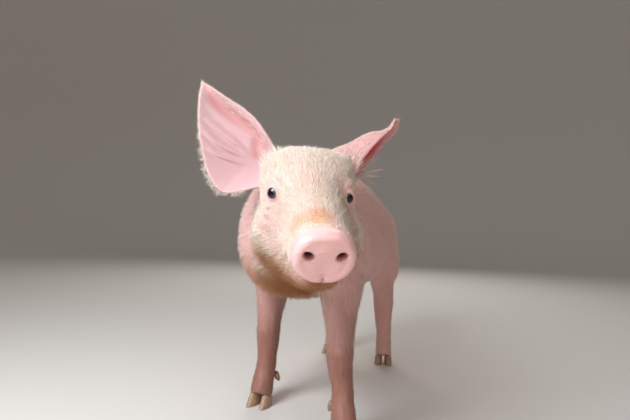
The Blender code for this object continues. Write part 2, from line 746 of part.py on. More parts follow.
def biggest_body(item):
    """Keeps the largest loose body."""
    shape = bmesh.new()
    shape.from_mesh(item.data)
    left, groups = set(shape.verts), []
    while left:
        stack = [left.pop()]
        group = set(stack)
        while stack:
            for edge in stack.pop().link_edges:
                for vert in edge.verts:
                    if vert in left:
                        left.discard(vert)
                        group.add(vert)
                        stack.append(vert)
        groups.append(group)
    groups.sort(key=len, reverse=True)
    for group in groups[1:]:
        bmesh.ops.delete(shape, geom=list(group), context="VERTS")
    shape.to_mesh(item.data)
    shape.free()
    return item


def fitted(piece, material, flesh):
    """Cuts the root of an ear, the tail or a dewclaw to the flesh it grows from, with the gap."""
    boolean(piece, flesh)
    cleaned(biggest_body(piece))
    piece.data.materials.append(material)
    piece.data.shade_smooth()


def build():
    lofts = [cranium(), jaw(), ear_root(1), ear_root(-1), neck(), trunk(),
             fore_leg("fore_left", 1, 0.0130), fore_leg("fore_right", -1, -0.004),
             hind_leg("hind_left", 1, 0.010), hind_leg("hind_right", -1, 0.006)]
    lofts += [toe(foot, side) for foot in FEET for side in (1, -1)]
    flesh = thinned(sculpt(blended(lofts)))

    surface = BVHTree.FromPolygons([v.co.copy() for v in flesh.data.vertices],
                                   [tuple(f.vertices) for f in flesh.data.polygons])
    fatter = inflated(flesh, GAP * 1.6)
    fitted(right_ear(), EAR, fatter)
    fitted(left_ear(), EAR, fatter)
    fitted(tail(), SKIN, inflated(flesh, GAP * 4.0))
    for foot in FEET:
        for side, word in ((1, "left"), (-1, "right")):
            horn = dewclaw(foot, side)
            horn.name = f"dewclaw_{foot}_{word}"
            fitted(horn, HORN, fatter)
            horn = claw(foot, side)
            horn.name = f"claw_{foot}_{word}"
            horn.data.materials.append(HORN)

    cuts = [nostril(1), nostril(-1), jaw_cut()]
    for side in (1, -1):
        cuts.append(ball("socket", eye_centre(side), EYE_RADIUS + GAP))
        eye = ball(f"eye_{'left' if side > 0 else 'right'}", eye_centre(side), EYE_RADIUS, PARTS)
        eye.data.materials.append(EYE)
        eye.data.shade_smooth()
    cuts += [slab(*place) for place in flat_cuts()]
    cuts.append(thimble(0.062, -0.006, 0.118, 0.215, 0.034, 0.046, 0.10))
    cuts.append(thimble(-0.048, 0.050, 0.118, 0.215, 0.034, 0.046, -0.10))
    cuts.append(thimble(0.058, 0.262, 0.112, 0.252, 0.040, 0.060, 0.05))
    cuts.append(thimble(-0.050, 0.286, 0.112, 0.252, 0.044, 0.060, -0.05))
    cuts += [sole_trim(foot) for foot in FEET]
    for cut in cuts:
        boolean(flesh, cut)

    seeds = {
        "snout_disc": (head_point(0.106, 0, 0), SNOUT),
        "head": (head_point(0.01, 0, -0.02), SKIN),
        "lower_jaw": (head_point(0.06, 0, -0.05), SKIN),
        "neck": (Vector((0.016, -0.026, 0.23)), SKIN),
        "trunk": (Vector((0, 0.15, 0.22)), SKIN),
    }
    for foot, (fx, fy, _) in FEET.items():
        seeds[f"upper_leg_{foot}"] = (Vector((fx, fy, 0.16)), SKIN)
        seeds[f"lower_leg_{foot}"] = (Vector((fx, fy, 0.050)), SKIN)
    pieces = named_islands(cleaned(flesh), seeds)
    for piece in pieces.values():
        lighter(piece, surface)
    for piece in pieces.values():
        piece.data.shade_smooth()



def stand_on_origin():
    """Centres the piglet's outline over the origin, by moving the empty that carries its pieces."""
    holder = bpy.data.objects.new("piglet_centre", None)
    PARTS.objects.link(holder)
    points = np.array([v.co for item in PARTS.objects if item.type == "MESH" for v in item.data.vertices])
    low, high = points.min(0), points.max(0)
    holder.location = (-(low[0] + high[0]) / 2, -(low[1] + high[1]) / 2, -low[2])
    for item in PARTS.objects:
        if item.type == "MESH":
            item.parent = holder
    print("outline", (high - low).round(4), "moved by", tuple(round(v, 5) for v in holder.location))


build()
stand_on_origin()
for collection_item in list(CUTTERS.objects):
    bpy.data.objects.remove(collection_item, do_unlink=True)
bpy.context.view_layer.update()
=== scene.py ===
"""Young pink pig standing square, life size: skin, eyes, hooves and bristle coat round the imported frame."""
import bpy
import bmesh
import math
import numpy as np
from mathutils import Vector, Matrix
from mathutils.bvhtree import BVHTree
from mathutils.kdtree import KDTree


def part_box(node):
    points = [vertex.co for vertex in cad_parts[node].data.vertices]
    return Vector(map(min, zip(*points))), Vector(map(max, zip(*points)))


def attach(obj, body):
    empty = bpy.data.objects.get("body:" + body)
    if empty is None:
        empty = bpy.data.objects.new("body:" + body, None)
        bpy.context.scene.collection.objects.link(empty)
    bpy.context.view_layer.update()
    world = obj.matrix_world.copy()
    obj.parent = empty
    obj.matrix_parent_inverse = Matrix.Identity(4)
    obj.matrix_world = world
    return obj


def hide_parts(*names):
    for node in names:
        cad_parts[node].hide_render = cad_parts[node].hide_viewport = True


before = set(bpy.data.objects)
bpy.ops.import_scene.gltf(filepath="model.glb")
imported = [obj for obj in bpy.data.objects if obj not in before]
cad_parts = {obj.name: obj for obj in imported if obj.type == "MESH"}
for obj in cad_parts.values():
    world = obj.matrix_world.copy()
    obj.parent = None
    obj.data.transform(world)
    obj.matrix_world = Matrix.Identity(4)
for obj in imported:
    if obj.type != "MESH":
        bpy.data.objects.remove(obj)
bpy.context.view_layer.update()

# ---------------------------------------------------------------- camera
# A short lens close to the snout and a little under eye height, tipped up and rolled.
# It looks along the animal's right side of centre, so the body runs away behind the left cheek.
def middle(node):
    low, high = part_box(node)
    return (low + high) / 2


def placed(name, data):
    """A new object in the scene, holding data."""
    item = bpy.data.objects.new(name, data)
    bpy.context.scene.collection.objects.link(item)
    return item


CAMERA_PLACE = (middle("eye_left") + middle("eye_right")) / 2 + Vector((0.1292, -0.3495, -0.0354))
CAMERA_TURN, CAMERA_RISE, CAMERA_ROLL = (math.radians(a) for a in (19.7, 3.4, 1.9))
ahead = Vector((-math.sin(CAMERA_TURN) * math.cos(CAMERA_RISE),
                math.cos(CAMERA_TURN) * math.cos(CAMERA_RISE), math.sin(CAMERA_RISE)))
right = ahead.cross(Vector((0, 0, 1))).normalized()
above = right.cross(ahead)
camera_right = right * math.cos(CAMERA_ROLL) + above * math.sin(CAMERA_ROLL)
camera_up = above * math.cos(CAMERA_ROLL) - right * math.sin(CAMERA_ROLL)
lens = bpy.data.cameras.new("camera")
lens.lens, lens.sensor_width, lens.clip_start = 24.0, 36.0, 0.01
camera = placed("camera", lens)
camera.matrix_world = Matrix((
    (camera_right.x, camera_up.x, -ahead.x, CAMERA_PLACE.x),
    (camera_right.y, camera_up.y, -ahead.y, CAMERA_PLACE.y),
    (camera_right.z, camera_up.z, -ahead.z, CAMERA_PLACE.z),
    (0, 0, 0, 1)))
bpy.context.scene.camera = camera


# ---------------------------------------------------------------- skin
# One unbroken hide over head, ears, neck, trunk, tail and legs: living skin, bare on the snout disc
# and inside the ears. It is poured over the parted flesh, smoothed, and lies inside it by the coat's depth.
FLESH = sorted(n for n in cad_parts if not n.startswith(("eye_", "claw_", "dewclaw_")))
SKIN_GRAIN = 0.00145      # edge of the finest faces of the hide
KINDS = {  # rounds of smoothing, coat depth, 1 where faces are thinned out, swelling that closes the cuts
    "head": (16, 0.0009, 0, 0.0008), "lower_jaw": (16, 0.0009, 0, 0.0008),
    "snout_disc": (12, 0.0, 0, 0.00045), "ear_left": (5, 0.0, 0, 0.0008), "ear_right": (5, 0.0, 0, 0.0007),
    "neck": (44, 0.0011, 1, 0.0014), "trunk": (56, 0.0011, 1, 0.0016), "tail": (5, 0.0003, 1, 0.0005),
    "upper_leg": (36, 0.0008, 1, 0.0014), "lower_leg": (12, 0.0004, 1, 0.0005)}
HEAD_YAW, HEAD_PITCH, HEAD_SIZE = math.radians(27.1), math.radians(28.6), 0.98
FORWARD = Vector((math.sin(HEAD_YAW) * math.cos(HEAD_PITCH),
                  -math.cos(HEAD_YAW) * math.cos(HEAD_PITCH), -math.sin(HEAD_PITCH)))
LEFT = Vector((math.cos(HEAD_YAW), math.sin(HEAD_YAW), 0.0))
UP = FORWARD.cross(LEFT)
if UP.z < 0:
    UP.negate()
EYES = {1: middle("eye_left"), -1: middle("eye_right")}
EYE_RADIUS = (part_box("eye_left")[1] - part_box("eye_left")[0]).z / 2
BETWEEN_EYES = (EYES[1] + EYES[-1]) / 2 - (FORWARD * 0.005 + UP * 0.001) * HEAD_SIZE


def head_at(forward, left, up):
    """A place on the head, in metres forward, left and up from between the eyes."""
    return BETWEEN_EYES + (FORWARD * forward + LEFT * left + UP * up) * HEAD_SIZE


def head_path(points, side=1):
    """Places on the head from millimetres; side -1 mirrors them to the animal's right."""
    return [head_at(d / 1000, l / 1000 * side, u / 1000) for d, l, u in points]


def close_to(places, place, reach, fade):
    """1 near a place, falling to 0 at reach over the width of fade, in metres."""
    return np.clip((reach - np.linalg.norm(places - np.array(place), axis=1)) / fade, 0, 1)


def as_mesh(name, shape):
    """A mesh made from a bmesh, which is then freed."""
    made = bpy.data.meshes.new(name)
    shape.to_mesh(made)
    shape.free()
    return made


def smooth(mesh):
    for p in mesh.polygons:
        p.use_smooth = True


def settled(shape):
    """Works an object's modifiers into its mesh."""
    bpy.context.view_layer.update()
    done = bpy.data.meshes.new_from_object(shape.evaluated_get(bpy.context.evaluated_depsgraph_get()))
    shape.modifiers.clear()
    shape.data = done


def coordinates(mesh):
    flat = np.empty(len(mesh.vertices) * 3)
    mesh.vertices.foreach_get("co", flat)
    return flat.reshape(-1, 3)


def normals(mesh):
    flat = np.empty(len(mesh.vertices) * 3)
    mesh.vertices.foreach_get("normal", flat)
    return flat.reshape(-1, 3)


def swollen(node, amount, shape):
    """Adds a merged copy of a CAD node to shape, swollen by amount."""
    piece = bmesh.new()
    piece.from_mesh(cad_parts[node].data)
    bmesh.ops.remove_doubles(piece, verts=piece.verts, dist=1e-5)
    for v, n in [(v, v.normal.copy()) for v in piece.verts]:
        v.co += n * amount
    copy = as_mesh(node + "_copy", piece)
    shape.from_mesh(copy)
    bpy.data.meshes.remove(copy)


whole = bmesh.new()
for node in FLESH:
    swollen(node, next(KINDS[kind][3] for kind in KINDS if node.startswith(kind)), whole)
for node in ("eye_left", "eye_right"):
    swollen(node, 0.0, whole)
skin = placed("hide", as_mesh("hide", whole))
remesh = skin.modifiers.new("pour", "REMESH")
remesh.mode, remesh.voxel_size = "VOXEL", SKIN_GRAIN
settled(skin)


# where each point of the hide belongs: the nearest CAD node, then softened over the surface
def linked_pairs(mesh):
    flat = np.empty(len(mesh.edges) * 2, np.int64)
    mesh.edges.foreach_get("vertices", flat)
    return flat.reshape(-1, 2)


def neighbour_sums(values, pairs):
    """For each row of values, the sum of the rows that it is linked to."""
    one, other = pairs.T
    return np.stack([np.bincount(one, column[other], len(column))
                     + np.bincount(other, column[one], len(column)) for column in values.T], 1)


def softened(values, pairs, rounds):
    """Averages values with their neighbours over the surface, rounds times."""
    values = np.array(values, float)
    flat = values.reshape(len(values), -1)
    count = np.bincount(pairs.ravel(), minlength=len(flat)).clip(1)[:, None]
    for _ in range(rounds):
        flat = (flat + neighbour_sums(flat, pairs) / count) / 2
    return flat.reshape(values.shape)


ON_TRIANGLE = (  # its middle, a place near each corner and the middle of each side
    (1 / 3, 1 / 3), (0.66, 0.17), (0.17, 0.66), (0.17, 0.17), (0.5, 0.5), (0.5, 0.0), (0.0, 0.5))
node_points, node_owner = [], []
for index, node in enumerate(FLESH):
    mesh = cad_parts[node].data
    corners = coordinates(mesh)
    tri = np.array([p.vertices[:] for p in mesh.polygons])
    a, b, c = corners[tri[:, 0]], corners[tri[:, 1]], corners[tri[:, 2]]
    for wa, wb in ON_TRIANGLE:
        node_points.append(a * wa + b * wb + c * (1 - wa - wb))
        node_owner.append(np.full(len(a), index))
node_points, node_owner = np.vstack(node_points), np.concatenate(node_owner)
near = KDTree(len(node_points))
for i, p in enumerate(node_points):
    near.insert(p, i)
near.balance()


def regions(points):
    """For each point, a share in head, jaw, disc, ears, neck, trunk, tail, upper and lower legs."""
    owner = np.array([node_owner[near.find(p)[1]] for p in points])
    named = {}
    for kind in ("head", "lower_jaw", "snout_disc", "ear_left", "ear_right", "neck", "trunk", "tail",
                 "upper_leg", "lower_leg"):
        members = [i for i, node in enumerate(FLESH) if node.startswith(kind)]
        named[kind] = np.isin(owner, members).astype(float)
    return named


BODY_FACES = 42000        # triangles left on the hide behind the head
CREASE_ROUNDS = 130       # extra smoothing where the cheeks run into the neck
EAR_FRONT_ROUNDS = 46     # and where the front of each ear meets the crown
MOUTH_ROUNDS = 22         # and along the mouth, where the jaw meets the head
MOUTH = [(94, 13, -27), (76, 21, -34), (57, 29, -41), (40, 37, -46.5)]    # millimetres on the head
FINE_SHARE = 0.35         # share in the head's nodes above which no face is thinned out

mesh = skin.data
pairs = linked_pairs(mesh)
places = coordinates(mesh)
share = regions(places)
for kind in share:
    share[kind] = softened(share[kind], pairs, 12)
rounds = sum(share[kind] * KINDS[kind][0] for kind in share)
solid_part = share["head"] + share["lower_jaw"] + share["neck"]
for side in (1, -1):
    ear_front = close_to(places, head_at(-0.042, side * 0.044, 0.012), 0.024, 0.008)
    rounds += EAR_FRONT_ROUNDS * solid_part * ear_front
    mouth = head_path(MOUTH, side)
    for place in mouth + [(a + b) / 2 for a, b in zip(mouth, mouth[1:])]:
        rounds += MOUTH_ROUNDS * solid_part * close_to(places, place, 0.010, 0.004)
crease = np.clip(5 * share["neck"] * (share["head"] + share["lower_jaw"]), 0, 1)
rounds += CREASE_ROUNDS * softened(crease, pairs, 6)
neighbours = np.bincount(pairs.ravel(), minlength=len(places))[:, None]
for step in range(int(rounds.max()) + 1):
    if step % 10 == 0:
        moving = rounds > step
        linked = pairs[moving[pairs[:, 0]] | moving[pairs[:, 1]]]
    around = neighbour_sums(places, linked) / neighbours
    places += (around - places) * (0.5 * np.clip(rounds - step, 0, 1))[:, None]
mesh.vertices.foreach_set("co", places.ravel())
mesh.update()
depth = sum(share[kind] * (KINDS[kind][1] + KINDS[kind][3]) for kind in share)
places -= normals(mesh) * depth[:, None]
mesh.vertices.foreach_set("co", places.ravel())
fine = sum(share[kind] * (KINDS[kind][2] == 0) for kind in share) > FINE_SHARE
coarse = skin.vertex_groups.new(name="thin_out")
coarse.add([int(i) for i in np.nonzero(~fine)[0]], 1.0, "REPLACE")
head_faces = 2 * int(fine.sum())
thin = skin.modifiers.new("thin", "DECIMATE")
thin.ratio = (head_faces + BODY_FACES) / (2 * len(mesh.polygons))
thin.vertex_group, thin.use_collapse_triangulate = "thin_out", True
settled(skin)
skin.vertex_groups.clear()

# finer faces round the eyes and over the snout disc
DISC = middle("snout_disc")
fine_mesh = bmesh.new()
fine_mesh.from_mesh(skin.data)
round_eyes = [(EYES[side], reach) for reach in (0.0165, 0.0135) for side in (1, -1)]
for centre, reach in round_eyes + [(DISC, 0.028)]:
    edges = [e for e in fine_mesh.edges
             if (e.verts[0].co - centre).length < reach and (e.verts[1].co - centre).length < reach]
    bmesh.ops.subdivide_edges(fine_mesh, edges=edges, cuts=1, use_grid_fill=True)
bmesh.ops.triangulate(fine_mesh, faces=fine_mesh.faces)
fine_mesh.to_mesh(skin.data)
fine_mesh.free()


# folds, lids and lips, laid on as soft ridges and grooves along short paths
def bend_through(points, steps=5):
    """A smooth path through a few points."""
    ends = [points[0] * 2 - points[1]] + list(points) + [points[-1] * 2 - points[-2]]
    path = []
    for a, b, c, d in zip(ends, ends[1:], ends[2:], ends[3:]):
        for k in range(steps):
            t = k / steps
            path.append(0.5 * (b * 2 + (c - a) * t + (a * 2 - b * 5 + c * 4 - d) * t * t
                               + (b * 3 - a - c * 3 + d) * t ** 3))
    return path + [points[-1]]


def away_from(places, path):
    """Distance of every place from a path, and how far along the path (0 to 1) its nearest point is."""
    best, along = np.full(len(places), 1e9), np.zeros(len(places))
    for i, (a, b) in enumerate(zip(path, path[1:])):
        a, b = np.array(a), np.array(b)
        t = np.clip(((places - a) @ (b - a)) / max(1e-12, (b - a) @ (b - a)), 0, 1)
        gap = np.linalg.norm(places - a - t[:, None] * (b - a), axis=1)
        nearer = gap < best
        best[nearer], along[nearer] = gap[nearer], ((i + t) / (len(path) - 1))[nearer]
    return best, along


def onto(tree, points):
    return [tree.find_nearest(p)[0] for p in points]


def surface(mesh):
    return BVHTree.FromPolygons([v.co for v in mesh.vertices], [p.vertices[:] for p in mesh.polygons])


mesh = skin.data
pairs = linked_pairs(mesh)
places = coordinates(mesh)
facing = normals(mesh)
share = regions(places)
for kind in share:
    share[kind] = softened(share[kind], pairs, 6)
flesh_tree = surface(mesh)


def carve(points, wide, deep, fade=0.25, shoulder=0.35, away=None):
    """A soft groove (deep over 0) or ridge along a path on the hide, with low shoulders, fading at its ends.
    Both faces of a thin ear move together, along away."""
    global places
    path = bend_through(onto(flesh_tree, points))
    gap, along = away_from(places, path)
    ends = np.clip(np.minimum(along, 1 - along) / fade, 0, 1) ** 0.7 if fade else 1.0
    form = np.exp(-(gap / wide) ** 2) - shoulder * np.exp(-((gap - 1.9 * wide) / (0.8 * wide)) ** 2)
    places = places - (facing if away is None else np.array(away)) * (deep * form * ends)[:, None]
    return np.clip(form * ends, 0, 1)


def swell(point, reach, high):
    """A soft rise round a place."""
    global places
    gap = np.linalg.norm(places - np.array(point), axis=1)
    places = places + facing * (high * np.exp(-(gap / reach) ** 2))[:, None]


# loose skin round each eye, and on the muzzle's side where the lip runs back: a path in millimetres
# on the head, and the fold's width and depth in metres
EYE_FOLDS = (
    ([(-12, 40, 11), (-3, 37, 17), (9, 31, 17), (18, 26, 11)], 0.0018, 0.0016),
    ([(-15, 42, 16), (-3, 37, 22.5), (12, 28, 21.5)], 0.0021, 0.0012),
    ([(-10, 43, -12), (4, 36, -16.5), (18, 28, -12.5)], 0.0018, 0.0016),
    ([(-12, 46, -19), (4, 39, -23.5), (22, 29, -19)], 0.0022, 0.0013),
    ([(-6, 47, -27), (12, 39, -31), (28, 30, -26)], 0.0026, 0.0010))
MUZZLE_FOLDS = (
    ([(88, 22, -10), (80, 26, -20), (70, 29, -30)], 0.0022, 0.0008),
    ([(78, 23, -6), (68, 28, -18), (56, 32, -30)], 0.0026, 0.0007))
FOLD_SHARE = {1: 0.55, -1: 1.0}    # the folds of the left eye are shallower
folds = []
for side in (1, -1):
    for path, wide, deep in EYE_FOLDS:
        folds.append(carve(head_path(path, side), wide, deep * FOLD_SHARE[side]))
    swell(head_at(0.0, side * 0.034, 0.014), 0.008, 0.0010)
    for path, wide, deep in MUZZLE_FOLDS:
        carve(head_path(path, side), wide, deep)
    swell(head_at(0.050, side * 0.032, -0.030), 0.014, 0.0010)

# the snout disc: a raised rim, a crease behind it, the cleft below and three cushions
DISC_FACE = 0.1125        # how far forward on the head the disc's face lies, metres
RIM = [(0.0, 0.0172), (0.0115, 0.0155), (0.0185, 0.0080), (0.0200, -0.0020), (0.0170, -0.0120),
       (0.0095, -0.0185), (0.0, -0.0190)]
RIM = RIM + [(-l, u) for l, u in RIM[-2:0:-1]] + RIM[:1]
carve([head_at(DISC_FACE, l * 0.93, u * 0.93) for l, u in RIM], 0.0022, -0.0005, fade=0)
carve([head_at(0.0975, l * 1.10, u * 1.10) for l, u in RIM], 0.0017, 0.0009, fade=0)
carve([head_at(0.1080, 0.0, -0.0215), head_at(DISC_FACE, 0.0, -0.0180), head_at(DISC_FACE, 0.0, -0.0125)],
      0.0017, 0.0012, fade=0.12, shoulder=0)
swell(head_at(DISC_FACE, 0.0, 0.0060), 0.0105, 0.0013)
swell(head_at(DISC_FACE, 0.0100, -0.0115), 0.0065, 0.0007)
swell(head_at(DISC_FACE, -0.0100, -0.0115), 0.0065, 0.0007)
cleft = bend_through(onto(flesh_tree, [head_at(0.1085, 0.0, -0.0225), head_at(DISC_FACE, 0.0, -0.0170)]))
# painted shade along the cleft under the disc
hollow_shade = 0.8 * np.exp(-(away_from(places, cleft)[0] / 0.0008) ** 2)
NOSTRIL_WIDE, NOSTRIL_HIGH, NOSTRIL_DEEP = 3.4, 2.8, 8.5    # half width, half height and depth, millimetres
nostril_rims = []
for side in (1, -1):
    hole = head_at(0.1120, side * 0.0114, 0.0014)
    carve([head_at(DISC_FACE, side * 0.0125, 0.0020), head_at(0.1120, side * 0.0160, 0.0042)],
          0.0022, 0.0010, fade=0.5)
    away = (places - np.array(hole)) @ np.array([FORWARD, LEFT, UP]).T * 1000
    turn = side * 0.5
    across = away[:, 1] * math.cos(turn) + away[:, 2] * math.sin(turn)
    upward = -away[:, 1] * math.sin(turn) + away[:, 2] * math.cos(turn)
    ring = np.sqrt((across / NOSTRIL_WIDE) ** 2 + (upward / NOSTRIL_HIGH) ** 2)
    at_hole = np.abs(away[:, 0]) < 9
    sunk = np.clip((1.25 - ring) / 0.45, 0, 1)
    sunk = np.where(at_hole, sunk * sunk * (3 - 2 * sunk), 0)
    lip = np.exp(-((ring - 1.45) / 0.28) ** 2) * (np.abs(away[:, 0]) < 6)
    # painted shade deep inside each nostril
    hollow_shade = np.maximum(hollow_shade, np.clip((1.12 - ring) / 0.3, 0, 1) * at_hole)
    nostril_rims.append(np.clip((1.7 - ring) / 0.5, 0, 1) * at_hole)
    inwards = np.minimum(0, -NOSTRIL_DEEP * sunk - away[:, 0]) * sunk
    places += np.outer(np.where(sunk > 0, inwards, 0.35 * lip) / 1000, np.array(FORWARD))

# wrinkles across the bridge of the snout
for d, deep in ((0.0925, 0.0007), (0.0860, 0.0006), (0.0780, 0.0004)):
    carve([head_at(d - 0.001, -0.019, 0.004), head_at(d, -0.010, 0.015), head_at(d + 0.001, 0.0, 0.018),
           head_at(d, 0.010, 0.015), head_at(d - 0.001, 0.019, 0.004)], 0.0016, deep)

# the right ear's gristle, millimetres on the head: a valley behind its front band, and three low
# ridges across the leaf
EAR_VALLEY = [
    (-100, -101, 61), (-96, -90, 52), (-90, -75, 43), (-84, -61, 36), (-78, -52, 28), (-72, -52, 12)]
EAR_RIDGES = [
    [(-84, -105, 44), (-81, -90, 33), (-76, -74, 22), (-70, -59, 11)],
    [(-75, -106, 34), (-71, -93, 24), (-69, -77, 15), (-67, -60, 8)],
    [(-63, -101, 20), (-61, -90, 13), (-62, -76, 8), (-62, -62, 4)]]
valley = head_path(EAR_VALLEY)
carve(valley, 0.0042, 0.0024, fade=0.3, shoulder=0.5, away=FORWARD)
for ridge in EAR_RIDGES:
    carve(head_path(ridge), 0.0026, -0.0019, fade=0.3, shoulder=0.6, away=FORWARD)
# painted reddish shade and painted dark shade along the carved valley of the right ear
in_valley = np.exp(-(away_from(places, bend_through(onto(flesh_tree, valley)))[0] / 0.0050) ** 2)
flush_shade_and_glow, hollow_shade = 0.30 * in_valley, np.maximum(hollow_shade, 0.20 * in_valley)
skin.data.vertices.foreach_set("co", places.ravel())
skin.data.update()

# eyelids: a spindle-shaped opening over each eyeball, with a rolled margin and the skin drawn round it
# (side 1 is the left, -1 the right)
LID_LONG, LID_HIGH, LID_THICK = {1: 0.0031, -1: 0.0052}, 0.0044, 0.0008
LID_GAP = 0.00015         # between the margin and the ball
BEHIND_FRONT = 0.0014     # how far the skin lies under the ball's surface inside the opening
LID_REACH = 0.02          # no skin further than this from the eye's middle is moved
AIM = {1: (0.40, 0.18), -1: (0.84, 0.36)}    # how far each eye looks outwards and up
LOOK = {}
lid_margin_shade = []
for side in (1, -1):
    centre = np.array(EYES[side])
    look = (FORWARD * 0.84 + LEFT * side * AIM[side][0] + UP * AIM[side][1]).normalized()
    slit = FORWARD * 0.90 - LEFT * side * 0.40 - UP * 0.12
    slit = (slit - look * slit.dot(look)).normalized()
    rise = look.cross(slit)
    if rise.z < 0:
        rise.negate()
    LOOK[side] = (look, slit, rise)
    away = places - centre
    far = np.linalg.norm(away, axis=1)
    x, y = (away @ np.array(v) / far * EYE_RADIUS for v in (slit, rise))
    front = away @ np.array(look) > 0
    bow = y + 0.0006 * (x / LID_LONG[side]) ** 2
    ring = (np.abs(x / LID_LONG[side]) ** 1.9 + np.abs(bow / LID_HIGH) ** 1.9) ** (1 / 1.9)
    ring[~front | (far > LID_REACH)] = 9.0
    snap = np.clip(1 - np.abs(ring - 1.0) / 0.055, 0, 1) > 0
    lid_margin_shade.append(np.exp(-((ring - 1.02) / 0.10) ** 2) * (far < EYE_RADIUS * 1.35))
    inside = ring < 0.97
    rise_of_lid = np.clip((ring - 1.0) / 0.30, 0, 1)
    rolled = EYE_RADIUS + LID_GAP + LID_THICK * rise_of_lid ** 0.7
    hold = np.clip((ring - 1.22) / 0.75, 0, 1)
    hold = hold * hold * (3 - 2 * hold)
    hold[ring > 2.0] = 1.0
    reach = np.where(inside, EYE_RADIUS - BEHIND_FRONT, rolled * (1 - hold) + far * hold)
    covered = (far < LID_REACH) & ~inside   # the ball never shows through the skin round its lids
    reach = np.where(covered, np.maximum(reach, EYE_RADIUS + LID_THICK * rise_of_lid), reach)
    here = (ring < 2.0) | (covered & (far < EYE_RADIUS + LID_THICK))
    moved = centre + away / far[:, None] * reach[:, None]
    places[here] = moved[here]
    # the margin itself, on one clean line
    sx, sy = x / ring, y / ring
    line = (np.outer(sx, np.array(slit)) + np.outer(sy, np.array(rise))) / EYE_RADIUS
    line += np.outer(np.sqrt(np.clip(1 - (line ** 2).sum(1), 0, 1)), np.array(look))
    line /= np.linalg.norm(line, axis=1)[:, None]
    places[snap] = (centre + line * (EYE_RADIUS + LID_GAP))[snap]
skin.data.vertices.foreach_set("co", places.ravel())
skin.data.update()
smooth(skin.data)
print("hide", len(skin.data.polygons), "triangles")


# what the hide is covered and marked with, from place to place
def on_head(places):
    """Forward, left and up on the head, in millimetres."""
    away = (places - np.array(BETWEEN_EYES)) @ np.array([FORWARD, LEFT, UP]).T
    return (away / HEAD_SIZE * 1000).T


def patch(coords, centre, reach, soft=0.35):
    """1 inside an ellipsoid, falling softly to 0 outside."""
    gap = np.sqrt(sum(((c - m) / r) ** 2 for c, m, r in zip(coords, centre, reach)))
    t = np.clip((1 + soft - gap) / (2 * soft), 0, 1)
    return t * t * (3 - 2 * t)


def markings(places, facing, share):
    """Rosy bare skin, yellow dust, brown stain mixed with painted shade and warm bounce light under jaw and
    throat, and dirt for each place, each 0 to 1.
    """
    d, l, u = on_head(places)
    rosy = share["snout_disc"] * 1.0
    for side in (1, -1):
        eye = (places - np.array(EYES[side])) * 1000
        rosy = np.maximum(rosy, patch(eye.T, (0, 0, 0), (10.0, 10.0, 10.0), 0.3) * 0.45)
    rosy = np.maximum(rosy, 0.6 * (share["trunk"] + share["tail"] + share["upper_leg"] + share["lower_leg"])
                      + 0.75 * share["neck"] + 0.75 * share["ear_left"]
                      + 0.5 * share["head"] * np.clip((-d - 45) / 25, 0, 1))
    dust = patch((d, l, u), (78, -2, 17), (13, 11, 12), 0.35)
    dust = np.maximum(dust, patch((d, l, u), (74, -17, 7), (10, 8, 8), 0.4) * 0.8)
    dust *= np.clip(0.85 + 0.5 * np.sin(0.9 * d + 0.5 * l) * np.sin(0.8 * l - 0.4 * d)
                    + 0.35 * np.sin(1.7 * l + 1.1 * d), 0, 1)
    rosy = np.maximum(rosy, 0.5 * patch((d, np.abs(l), u), (34, 36, -16), (30, 16, 18), 0.5))
    x, y, z = places.T
    # skin facing down under the jaw, throat and chest turns brown: partly a stain, partly painted shade and
    # painted warm light bounced up from below
    under = np.clip(-facing[:, 2] * 2.1 - 0.05, 0, 1) ** 1.1
    stain_and_underside_shade = under * (share["lower_jaw"] + share["head"] * np.clip((-u - 24) / 14, 0, 1)
                     + 0.8 * share["neck"] * np.clip((0.215 - z) / 0.03, 0, 1)
                     + 0.35 * share["trunk"] * np.clip((-0.10 - y) / 0.04, 0, 1))
    stain_and_underside_shade *= 1.0 + 0.25 * np.sin(0.5 * d + 0.7 * l) * np.sin(0.6 * l - 0.3 * u)
    dirt = 0.90 * np.clip((0.19 - z) / 0.11, 0, 1) * (share["lower_leg"] + share["upper_leg"])
    dirt *= np.clip((0.05 - y) / 0.05, 0.25, 1)
    # a faint brown patch over the left cheek only
    dirt = np.maximum(dirt, 0.20 * patch((d, l, u), (38, 33, -14), (34, 14, 24), 0.8))
    return np.stack([rosy, dust, np.clip(stain_and_underside_shade, 0, 1), dirt], 1)


def keep(mesh, name, values, kind="FLOAT_COLOR"):
    layer = mesh.attributes.get(name) or mesh.attributes.new(name, kind, "POINT")
    layer.data.foreach_set("color" if kind == "FLOAT_COLOR" else "value",
                           np.ascontiguousarray(values, np.float32).ravel())


mesh = skin.data
facing = normals(mesh)
marks = softened(markings(places, facing, share), pairs, 22)
keep(mesh, "markings", marks)
broad = softened(facing, pairs, 14)
inner = share["ear_right"] * np.clip(broad @ np.array(FORWARD) * 4.0 + 0.8, 0, 1)
fold_out = np.array((LEFT * 0.8 - UP * 0.6 + FORWARD * 0.2).normalized())
hide_tree = surface(mesh)
on_left = np.nonzero(share["ear_left"] > 0.3)[0]
starts = places + facing * 0.0004
shut = np.array([hide_tree.ray_cast(Vector(starts[i]), Vector(facing[i]), 0.022)[0] is not None
                 for i in on_left], float)
open_side = np.clip(facing[on_left] @ fold_out * 2 - 0.6, 0, 1)
inner[on_left] = np.maximum(shut, open_side) * share["ear_left"][on_left]
inner = softened(inner, pairs, 3)
keep(mesh, "inner_ear", inner, "FLOAT")
keep(mesh, "disc", share["snout_disc"], "FLOAT")
# a painted red glow of light shining through the rolled left ear, over its redder inside
flush_shade_and_glow = np.maximum(flush_shade_and_glow, 0.85 * inner * share["ear_left"])
# painted reddish shade in the creases of the folds round the eyes
for fold in folds:
    flush_shade_and_glow = np.maximum(flush_shade_and_glow, 0.16 * fold)
